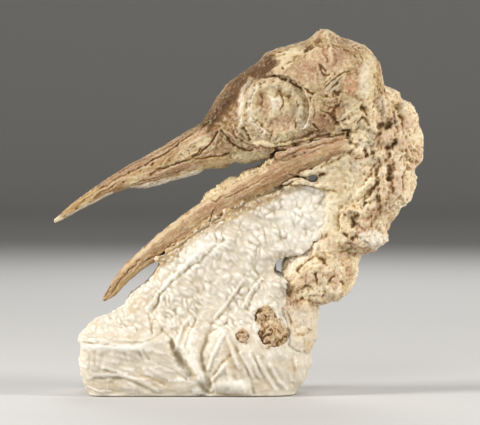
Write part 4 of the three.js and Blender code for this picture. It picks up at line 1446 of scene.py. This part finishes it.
@dataclass
class SkullAndBeak(Carving):
    """Braincase, face, stone-filled eye sockets and upper beak."""

    def carve(self) -> None:
        """Cut fibres down the beak, broken lumps in the braincase, and stone in the sockets."""
        skin = self.skin
        p = skin.points
        x, z = skin.flat[:, 0], skin.flat[:, 1]
        beak = 1 - ramp(x, -13, -5)
        head = 1 - beak
        eye = 1 - ramp(skin.away(EYE), 10.5, 12.6)
        back = ramp(x, 18, 28) * (1 - eye)
        grain = fibres(skin, BEAK_MIDDLE, 9, 0.85, 11)
        skin.height += beak * 0.34 * grain + 0.14 * Noise.layered(p / 0.9, 2, 12)
        skin.added_wear_and_highlight += beak * np.clip(0.9 * grain, 0, 0.7)
        skin.stain_and_shadow += beak * np.clip(-0.65 * grain, 0, 0.45)
        skin.dab(PATCHES)
        calm = 1 - 0.55 * skin.tint[:, 3] * ramp(Noise.smooth(p / 5, 20), 0.3, -0.3)
        skin.height += head * (0.42 * Noise.layered(p / 6.5, 3, 21) + 0.1 * Noise.layered(p / 1.1, 2, 22))
        skin.height += calm * back * 0.75 * rubble(skin, 5.6, 23, 0.3)
        skin.height += calm * head * 0.2 * rubble(skin, 1.9, 24)
        folds = wrinkles(skin, 3.4, 27) * head * calm * ramp(Noise.smooth(p / 6, 28), -0.1, 0.5)
        skin.height += eye * (0.4 * Noise.layered(p / 3.2, 3, 87) + 0.25 * rubble(skin, 2.4, 88, 0.4))
        ring = np.exp(-(((skin.away(EYE_RING) - EYE_RING[2]) / 2.2) ** 2))
        folds = np.maximum(folds, ring * wrinkles(skin, 2.2, 29))
        skin.height += 0.26 * folds + 0.14 * calm * head * Noise.layered(p / 1.4, 2, 30)
        skin.added_wear_and_highlight += (0.4 + 0.2 * ring) * folds
        holes = pits(skin, 1.5, 0.3, 25) * calm
        skin.height -= (0.2 * head + 0.3 * back) * holes
        skin.stain_and_shadow = np.maximum(skin.stain_and_shadow, (0.35 * back + 0.1 * head) * holes)
        skin.bone = np.clip(0.85 - 0.25 * back + 0.5 * Noise.layered(p / 5, 3, 26), 0, 1)
        skin.bone *= 1 - 0.75 * ramp(z - follow(BEAK_PALE, x), 1.4, 0.2) * beak
        skin.paint(BANDS)
        brow, gap = skin.distance(BANDS[0].path, 5.0)
        skin.added_wear_and_highlight[brow] -= 0.6 * ramp(gap, 4.8, 2.2)
        for marks in BONE_MARKS:
            skin.cut(marks, stain_and_shadow=0.85)
        under = z - follow(BEAK_EDGE, x)
        skin.crust = ramp(np.abs(under), 0.9, 0.3) * ramp(x, -37, -34) * ramp(x, 9, 7)


@dataclass
class Jaw(Carving):
    """The two sides of the lower jaw, and the stone between them."""

    def carve(self) -> None:
        """Cut fibres and splits down the bone, and break the stone's surface."""
        skin = self.skin
        p = skin.points
        x, z = skin.flat[:, 0], skin.flat[:, 1]
        stone = ramp(z - follow(JAW_EDGE, x), -0.3, 0.4) * ramp(x, 15, 9) * ramp(x, -16, -13)
        grain = fibres(skin, JAW_MIDDLE, 13, 1.0, 31) * (1 - stone)
        skin.height += 0.28 * grain + 0.2 * Noise.layered(p / 3.4, 5, 32)
        skin.height += stone * (0.3 * Noise.layered(p / 3, 3, 41) + 0.3 * rubble(skin, 2.1, 42))
        skin.height += 0.1 * rubble(skin, 1.6, 33)
        skin.added_wear_and_highlight += np.clip(0.7 * grain, 0, 0.5)
        skin.stain_and_shadow += np.clip(-0.35 * grain, 0, 0.35)
        skin.bone = np.clip(0.95 + 0.3 * Noise.layered(p / 6, 2, 34), 0, 1)
        skin.bone *= (0.25 + 0.75 * ramp(z - follow(JAW_LEDGE, x), -0.3, 0.3)) * (1 - 0.9 * stone)
        skin.dab(PATCHES)
        skin.paint(BANDS)
        for marks in BONE_MARKS:
            skin.cut(marks, stain_and_shadow=0.9)
        skin.crust = 0.5 * stone


@dataclass
class Neck(Carving):
    """Joints of the upper neck, crushed together in stone, and the stone in the throat."""

    def carve(self) -> None:
        """Cut knobs of bone with stone between them."""
        skin = self.skin
        p = skin.points
        x, z = p[:, 0], p[:, 2]
        throat = ramp(np.hypot((x - THROAT[0]) / 11, (z - THROAT[1]) / 14), 1.25, 0.8)
        under_jaw = ramp(np.abs(z - follow(JAW_BACK, x)), 4, 2) * ramp(x, 41, 37)
        calm = 1 - np.maximum(0.75 * throat, 0.55 * under_jaw)
        lumps = rubble(skin, 8.0, 51, 0.25, 1.6)
        small = rubble(skin, 3.1, 52, 0.15, 1.6)
        rough = 0.25 + 0.75 * ramp(Noise.smooth(p / 6, 58), -0.2, 0.5)
        ribs = wrinkles(skin, 4.2, 65, 3.2) * ramp(x, 44, 50) * ramp(z, 62, 68)
        uneven = 0.7 * Noise.layered(p / 5.2, 4, 53)
        skin.height += calm * (1.35 * lumps + 0.8 * rough * small + uneven + 0.55 * ribs)
        skin.height += 0.26 * Noise.layered(p / 1.5, 3, 59) + 0.16 * rubble(skin, 1.7, 60, 0.5)
        holes = pits(skin, 4.2, 0.2, 54) * calm
        skin.height -= 0.8 * holes
        skin.stain_and_shadow = np.maximum(skin.stain_and_shadow, 0.5 * holes)
        skin.bone = np.clip(0.5 + 1.5 * Noise.layered(p / 5.4, 3, 55) + 0.4 * lumps, 0, 1)
        skin.plaster = 0.85 * ramp(z + 2 * Noise.smooth(p / 4, 56), 33, 27)
        folds = wrinkles(skin, 2.8, 57) * (0.3 + 0.7 * rough) * calm
        skin.height += 0.34 * folds
        skin.added_wear_and_highlight += 0.5 * folds + 0.3 * ribs
        skin.bone *= 1 - np.maximum(throat, 0.8 * under_jaw)
        skin.height *= 1 - 0.5 * skin.plaster
        skin.stain_and_shadow *= 1 - 0.7 * skin.plaster
        skin.dab(PATCHES)
        skin.paint(BANDS)
        for marks in BONE_MARKS:
            skin.cut(marks, stain_and_shadow=0.62, widen=1.45, ragged=0.6)
        hole = np.hypot((x - THROAT_HOLE[0]) / 1.5, z - THROAT_HOLE[1])
        skin.height -= 0.9 * np.exp(-((hole / 1.7) ** 2))
        skin.crust = 0.12 * calm


@dataclass
class Clods(Carving):
    """Lumps of bone that stand out of the plaster."""

    def carve(self) -> None:
        """Break the lumps."""
        skin = self.skin
        p = skin.points
        skin.height += 0.9 * rubble(skin, 3.1, 61, 0.4) + 0.5 * rubble(skin, 1.5, 62)
        skin.height += 0.5 * Noise.layered(p / 2, 3, 63)
        skin.bone = np.clip(0.85 + 0.6 * Noise.layered(p / 3, 2, 64), 0, 1)
        skin.wash(Tone.PINK, np.full(len(p), 0.5))
        skin.wash(Tone.STONE, 0.6 * ramp(Noise.layered(p / 1.6, 2, 66), -0.1, 0.45))
        skin.cut(CLODS, stain_and_shadow=0.8)


@dataclass
class PlasterStand(Carving):
    """The plaster web under the jaw and the foot block, cut to shape with a small gouge."""

    def carve(self) -> None:
        """Cut flakes in the web, folds at its bottom and long strokes in the foot."""
        skin = self.skin
        skin.warp = 0.22
        skin.retake()
        x, z = skin.flat[:, 0], skin.flat[:, 1]
        q = np.stack([x, skin.points[:, 1], z], 1)
        sway = 0.45 * Noise.smooth(q / 13, 77)
        foot = self.foot_share(x, z)
        folds = ramp(z, 26, 17) * (1 - foot)
        pebbles = ramp(x * 0.6 + z * 0.8, 45, 55) * (1 - foot)
        scoops = (1 - folds) * (1 - pebbles) * (1 - foot)
        down = Noise.gouges(q, 3.0, math.radians(-66) + sway, 0.4, (2.2, 0.5), 72)
        flat = Noise.gouges(q, 3.0, math.radians(-14) + sway, 0.35, (2.4, 0.45), 73)
        pressed = 0.5 + 0.5 * ramp(Noise.smooth(q / 7, 79), -0.5, 0.4)
        skin.height += pressed * (0.45 * folds * down + 0.45 * foot * flat)
        under_jaw = z - follow(JAW_LEDGE, x) + 0.8 * Noise.layered(q / 3, 2, 80)
        ledge = ramp(under_jaw, -4.2, -2.4) * ramp(x, -31, -27)
        flakes = self.flakes(q, math.radians(-50), 1.75, 2.2, 71)
        broad = self.flakes(q, math.radians(-60), 2.1, 1.45, 74)
        fold = 0.5 + 0.5 * ramp(Noise.layered(q / 4.5, 2, 85), -0.35, 0.35)
        leaves = (1.15 * scoops * flakes + 1.1 * pebbles * broad) * (1 - 0.8 * ledge) * fold
        skin.height += pressed * leaves + 0.3 * (scoops + pebbles) * Noise.layered(q / 3.2, 2, 86)
        # Flake tops are lighter, partly from rubbing and partly as a painted highlight; less on the ledge
        # under the jaw.
        skin.added_wear_and_highlight += 0.35 * np.clip(leaves + 0.1, 0, 0.5) - 0.6 * ledge
        skin.height += 0.1 * Noise.layered(q / 2.2, 2, 75) + 0.7 * Noise.layered(q / 9, 2, 76)
        edge = follow(WEB_EDGE, z) - x
        skin.height += 0.5 * np.exp(-((np.clip(edge, 0, 30) / 8) ** 2)) * ramp(z, 44, 54) * skin.facing
        clod = np.minimum(*(skin.away(rim) - rim[2] for rim in CLOD_RIMS))
        skin.height += 0.3 * ramp(clod, 2.8, 0.2) * skin.facing
        skin.height += ledge * (0.3 * wrinkles(skin, 2.6, 83) + 0.25 * Noise.layered(q / 1.5, 3, 84))
        skin.bone = 0.85 * ledge
        skin.plaster = 1 - skin.bone
        skin.wash(Tone.GOLD, 0.7 * skin.bone * ramp(Noise.layered(q / 3, 2, 81), -0.4, 0.5))
        skin.wash(Tone.STONE, 0.7 * skin.bone * ramp(Noise.layered(q / 2.4, 2, 82), -0.1, 0.5))
        skin.dab(PATCHES)
        skin.cut(SWELLS, ragged=0.0, raised_wear_and_highlight=0.0)
        skin.cut(WEB, stain_and_shadow=0.1, widen=1.25, ragged=0.25)
        skin.cut(FOOT, stain_and_shadow=0.1, widen=1.2, ragged=0.4)
        skin.cut(JAW)
        skin.height *= ramp(skin.points[:, 2], 0.0, 1.2)

    @staticmethod
    def flakes(q: np.ndarray, angle: float, size: float, long: float, seed: int) -> np.ndarray:
        """Raised leaf-shaped flakes with creases between them.

        Args:
            q: Positions in millimetres.
            angle: Direction of the flakes, in radians from x towards z.
            size: Width of a flake.
            long: Length of a flake against its width.
            seed: Which of the patterns.

        Returns:
            Height, from about -0.8 in a crease to 0.5 on a flake.
        """
        bend = 0.9 * size * Noise.smooth(q / (3.0 * size), seed + 1)
        along = (q[:, 0] * math.cos(angle) + q[:, 2] * math.sin(angle)) / (size * long)
        across = (q[:, 2] * math.cos(angle) - q[:, 0] * math.sin(angle) + bend) / size
        near, far = Noise.cells(np.stack([along, q[:, 1] / (3 * size), across], 1), seed)
        return 0.3 - 0.25 * near**2 - 0.42 * np.exp(-(((far - near) / 0.26) ** 2))

    @staticmethod
    def foot_share(x: np.ndarray, z: np.ndarray) -> np.ndarray:
        """How much of each point is foot, not web."""
        return ramp(x - follow(FOOT_EDGE, z), 0.8, -0.8) * ramp(z, 21.5, 20)


@dataclass
class Crumbs:
    """Grit scattered over one carved piece, where its Crust attribute says."""

    name: str
    finish: Finish
    slot: str
    per_mm2: float
    smallest: float
    largest: float
    seed: int

    settings = (("Geometry", "NodeSocketGeometry"), ("Per square metre", "NodeSocketFloat"),
                ("Smallest", "NodeSocketFloat"), ("Largest", "NodeSocketFloat"), ("Seed", "NodeSocketInt"),
                ("Material", "NodeSocketMaterial"))

    def tree(self) -> bpy.types.NodeTree:
        """Build the node tree that scatters, turns and joins the grains, unless it is there already.

        Returns:
            The tree.
        """
        made = bpy.data.node_groups.get("scatter_grit")
        if made:
            return made
        made = bpy.data.node_groups.new("scatter_grit", "GeometryNodeTree")
        for title, kind in self.settings:
            made.interface.new_socket(name=title, in_out="INPUT", socket_type=kind)
        made.interface.new_socket(name="Geometry", in_out="OUTPUT", socket_type="NodeSocketGeometry")
        kit = Nodes(made)
        taken = kit.add("NodeGroupInput").outputs
        crust = kit.join("GeometryNodeInputNamedAttribute", {"Name": "Crust"}, data_type="FLOAT")
        density = kit.math("MULTIPLY", crust.outputs["Attribute"], taken["Per square metre"])
        spread = kit.join("GeometryNodeDistributePointsOnFaces", {
            "Mesh": taken["Geometry"], "Density": density, "Seed": taken["Seed"]},
            distribute_method="RANDOM")
        grain = kit.join("GeometryNodeMeshUVSphere", {"Segments": 7, "Rings": 5, "Radius": 1.0})
        clouds = kit.join("ShaderNodeTexNoise", {"Scale": 0.8, "Detail": 1.0})
        centred = kit.join("ShaderNodeVectorMath", {0: clouds.outputs["Color"], 1: (0.5, 0.5, 0.5)},
                           operation="SUBTRACT")
        push = kit.join("ShaderNodeVectorMath", {0: centred.outputs[0], "Scale": 1.8}, operation="SCALE")
        bend = kit.join("GeometryNodeSetPosition", {
            "Geometry": grain.outputs["Mesh"], "Offset": push.outputs[0]})
        size = self.chance(kit, "FLOAT", {
            "Min": taken["Smallest"], "Max": taken["Largest"], "Seed": taken["Seed"]})
        turn = self.chance(kit, "FLOAT_VECTOR", {"Min": (0.0, 0.0, 0.0), "Max": (math.tau,) * 3})
        place = kit.join("GeometryNodeInstanceOnPoints", {
            "Points": spread.outputs["Points"], "Instance": bend.outputs["Geometry"],
            "Rotation": turn, "Scale": size})
        real = kit.join("GeometryNodeRealizeInstances", {"Geometry": place.outputs["Instances"]})
        dress = kit.join("GeometryNodeSetMaterial", {
            "Geometry": real.outputs["Geometry"], "Material": taken["Material"]})
        kit.join("NodeGroupOutput", {"Geometry": dress.outputs["Geometry"]})
        return made

    @staticmethod
    def chance(kit: Nodes, kind: str, wires: dict[str, object]) -> bpy.types.NodeSocket:
        """Add random values, one for each grain.

        Args:
            kit: Lays the nodes.
            kind: Number or vector, in Blender's words.
            wires: Socket or plain value for each input.

        Returns:
            The values' socket.
        """
        node = kit.add("FunctionNodeRandomValue", data_type=kind)
        for title, value in wires.items():
            kit.feed(next(s for s in node.inputs if s.enabled and s.name == title), value)
        return next(s for s in node.outputs if s.enabled)

    def build(self, skin: Skin) -> None:
        """Scatter the grit over a piece and keep it as a plain mesh.

        Args:
            skin: The piece's surface.
        """
        carrier = put(self.name, skin.mesh.copy())
        modifier = carrier.modifiers.new("grit", "NODES")
        modifier.node_group = self.tree()
        values = {"Per square metre": self.per_mm2 / MM**2, "Smallest": self.smallest * MM,
                  "Largest": self.largest * MM, "Seed": self.seed, "Material": self.finish.material()}
        for item in modifier.node_group.interface.items_tree:
            if item.in_out == "INPUT" and item.name in values:
                modifier[item.identifier] = values[item.name]
        mesh = plain_mesh(carrier, self.name)
        mesh.polygons.foreach_set("use_smooth", np.ones(len(mesh.polygons), dtype=bool))
        body = put(self.name, mesh)
        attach(body, "root")
        log.info("%s: %d faces", self.name, len(mesh.polygons))


@dataclass(frozen=True)
class Lamp:
    """One soft square light, with its place and width in metres, its watts and its colour."""

    name: str
    at: Place
    width: float
    power: float
    colour: Colour

    def hang(self, aim: Vector) -> None:
        """Hang it.

        Args:
            aim: Where it points, in metres.
        """
        data = bpy.data.lights.new(self.name, "AREA")
        data.size = self.width
        data.energy = self.power
        data.color = self.colour
        made = put(self.name, data)
        made.location = self.at
        made.rotation_euler = (aim - Vector(self.at)).to_track_quat("-Z", "Y").to_euler()


@dataclass
class Studio:
    """Floor, lights and camera.

    The picture is width_mm wide at the model, round its middle in x and z. The camera stands distance
    metres off and rise degrees up. The floor is flat out to flat metres, bends up by bend metres, and
    ends in a wall that is wall metres high.
    """

    width_mm: float = 168.0
    middle: tuple[float, float] = (0.8, 62.8)
    distance: float = 1.2
    rise: float = 2.0
    flat: float = 1.8
    bend: float = 0.7
    wall: float = 2.6
    floor_colour: Colour = (0.50, 0.495, 0.48)
    sky_colour: Colour = (1.0, 0.97, 0.945)
    sky_strength: float = 0.22
    aim: Place = (0, 0, 0.065)
    lamps: tuple[Lamp, ...] = (
        Lamp("left", (-0.75, -0.22, 0.42), 0.25, 9.0, (1.0, 0.98, 0.965)),
        Lamp("right", (0.72, -0.30, 0.36), 0.25, 6.1, (1.0, 0.97, 0.935)),
        Lamp("front", (-0.1, -0.8, 0.7), 0.4, 3.0, (1.0, 0.97, 0.945)),
        Lamp("back", (0.1, 0.8, 0.6), 0.5, 4.0, (1.0, 1.0, 1.0)),
    )

    def build(self) -> None:
        """Make all of it."""
        self.floor()
        for lamp in self.lamps:
            lamp.hang(Vector(self.aim))
        world = bpy.data.worlds.new("studio")
        world.use_nodes = True
        sky = world.node_tree.nodes["Background"]
        sky.inputs[0].default_value = (*self.sky_colour, 1)
        sky.inputs[1].default_value = self.sky_strength
        bpy.context.scene.world = world
        bpy.context.scene.view_settings.view_transform = "Standard"
        self.camera()

    def floor(self) -> None:
        """Lay a plain pale floor that bends up into a round wall, just under the model."""
        turns = [math.pi / 2 * k / 12 for k in range(13)]
        curve = [(self.flat + self.bend * math.sin(t), self.bend - self.bend * math.cos(t)) for t in turns]
        rim = [(0.0, 0.0), *curve, (self.flat + self.bend, self.wall)]
        shape = bmesh.new()
        line = [shape.verts.new((r, 0, z - 0.4 * MM)) for r, z in rim]
        edges = [shape.edges.new(pair) for pair in zip(line, line[1:])]
        bmesh.ops.spin(shape, geom=line + edges, cent=(0, 0, 0), axis=(0, 0, 1), angle=math.tau, steps=64)
        bmesh.ops.remove_doubles(shape, verts=shape.verts, dist=0.1 * MM)
        mesh = bpy.data.meshes.new("floor")
        shape.to_mesh(mesh)
        shape.free()
        mesh.polygons.foreach_set("use_smooth", [True] * len(mesh.polygons))
        plane = put("floor", mesh)
        made = bpy.data.materials.new("pale_floor")
        made.use_nodes = True
        shader = made.node_tree.nodes["Principled BSDF"]
        shader.inputs["Base Color"].default_value = (*self.floor_colour, 1)
        shader.inputs["Roughness"].default_value = 0.9
        plane.data.materials.append(made)

    def camera(self) -> None:
        """Stand a long lens almost level with the model."""
        data = bpy.data.cameras.new("camera")
        data.sensor_width = 36
        data.lens = data.sensor_width * self.distance / (self.width_mm * MM)
        rise = math.radians(self.rise)
        x, z = self.middle[0] * MM, self.middle[1] * MM
        made = put("camera", data)
        made.location = (x, -self.distance * math.cos(rise), z + self.distance * math.sin(rise))
        made.rotation_euler = (math.pi / 2 - rise, 0, 0)
        bpy.context.scene.camera = made


def row(y: float, half: Place, places: Path) -> tuple[Lump, ...]:
    """Equal lumps along a line of places in x and z."""
    return tuple(Lump((x, y, z), half) for x, z in places)


def main() -> None:
    """Build the skull, the neck and its stand, then the studio."""
    logging.basicConfig(level=logging.INFO, format="%(message)s")
    bone = Finish("skull_bone")
    jaw_bone = Finish("jaw_bone", bone=(0.43, 0.258, 0.13), bone_deep=(0.33, 0.19, 0.095),
                      bone_olive=(0.45, 0.315, 0.165))
    neck_bone = Finish("neck_bone", bone=(0.67, 0.475, 0.315), bone_deep=(0.51, 0.34, 0.21),
                       bone_olive=(0.64, 0.51, 0.30), stone=(0.87, 0.755, 0.55),
                       stone_deep=(0.71, 0.59, 0.38))
    plaster = Finish("carved_plaster", roughness=0.8, wear_and_highlight_strength=0.8, dirt_and_shade=(0.30, 0.22, 0.12),
                     shade=(0.84, 0.79, 0.69), dust_and_highlight=(0.90, 0.87, 0.80))
    cheek = row(8.4, (4, 4.2, 2.6), ((10, 86.4), (16, 87.2), (22, 88.6), (28, 90.0), (34, 91.4)))
    skull = SkullAndBeak("skull_and_beak", ("cranium", "eye_stone_left", "eye_stone_right", "upper_beak"),
                         "bone", bone, voxel=0.362, level=0.6, lumps=cheek)
    hinge = row(10.0, (3.4, 3.4, 1.7), (
        (16, 83.0), (20, 84.4), (24, 85.6), (28, 86.6), (32, 87.6), (36, 88.4)))
    jaw = Jaw("jaw_with_stone", ("lower_jaw", "tongue_stone"), "jaw_bone", jaw_bone, voxel=0.33,
              lumps=hinge)
    nape = tuple(Lump(at, half) for at, half in (
        ((17.6, 9, 72.6), (2.2, 1.6, 1.3)), ((20.6, 8.6, 73.8), (3.2, 3.2, 1.3)),
        ((24.2, 9, 77), (3.4, 3.2, 1.2)), ((28.4, 9, 78.2), (3, 3.6, 1.8)),
        ((32, 9, 79.6), (4.4, 3.6, 2)), ((36, 9.4, 81.8), (5, 3.6, 2.4)), ((40, 9, 84.5), (4, 4.2, 3)),
        ((42.5, 8.6, 89), (4, 5.2, 4)), ((44.2, 9, 93.4), (3.8, 5, 4)),
        ((45.8, 8.6, 98), (3.2, 4.8, 4.2)), ((21.5, 9, 18.5), (5, 5.5, 5))))
    neck = Neck("neck_block", ("neck_1", "neck_2", "neck_3", "neck_4", "neck_5", "throat_stone"),
                "neck_bone", neck_bone, lumps=nape)
    brim = tuple(Lump((x, 5.0, z), (half, 3.3, 2.6)) for x, z, half in (
        (27.6, 69.6, 3.2), (28.6, 66.6, 3.6), (29.2, 63, 2.8), (28.4, 59.4, 3.8), (27.0, 55.6, 3.0)))
    beside = row(6.4, (2.5, 3.6, 3.2), ((13.2, 30), (13.2, 34.5)))
    ledge = row(4.6, (3.4, 3.1, 1.6), (
        (-26, 46.6), (-22, 49.4), (-18, 52.2), (-14, 55.2), (-10, 57.8), (-6, 60.4), (-2, 63), (1, 65.2),
        (3, 66.5), (5, 67.4), (7, 68.3), (9, 69.1), (11, 69.9), (13, 70.7), (15, 71.5), (18, 72.6)))
    stand = PlasterStand("plaster_stand", ("plaster_web", "plaster_foot"), "plaster", plaster,
                         voxel=0.452, lumps=brim + beside + ledge)
    knobs = (Lump((7.4, 9.4, 25), (3.2, 3, 3.6)), Lump((12.4, 10, 23.6), (3.4, 3.2, 3.2)),
             Lump((15.4, 10.6, 19.4), (2.6, 3, 3)))
    clods = Clods("bone_clods", ("bone_clod_large", "bone_clod_small"), "bone", bone, voxel=0.3,
                  swell=0.6, lumps=knobs)
    pieces = [skull, jaw, neck, stand, clods]
    for piece in pieces:
        piece.block()
    ground = Ground([piece.skin for piece in pieces], groove=5.0)
    for piece in pieces:
        piece.skin.level(ground, piece.level)
        piece.carve()
        piece.close()
    crust = Finish("white_crust", stone=(0.88, 0.84, 0.74), stone_deep=(0.74, 0.67, 0.53))
    grit = Finish("stone_grit")
    Crumbs("beak_crust", crust, "stone", 5.0, 0.12, 0.34, 3).build(skull.skin)
    Crumbs("jaw_grit", grit, "stone", 1.6, 0.15, 0.45, 4).build(jaw.skin)
    Crumbs("neck_grit", grit, "stone", 0.6, 0.12, 0.34, 5).build(neck.skin)
    Studio().build()


if __name__ == "__main__":
    main()
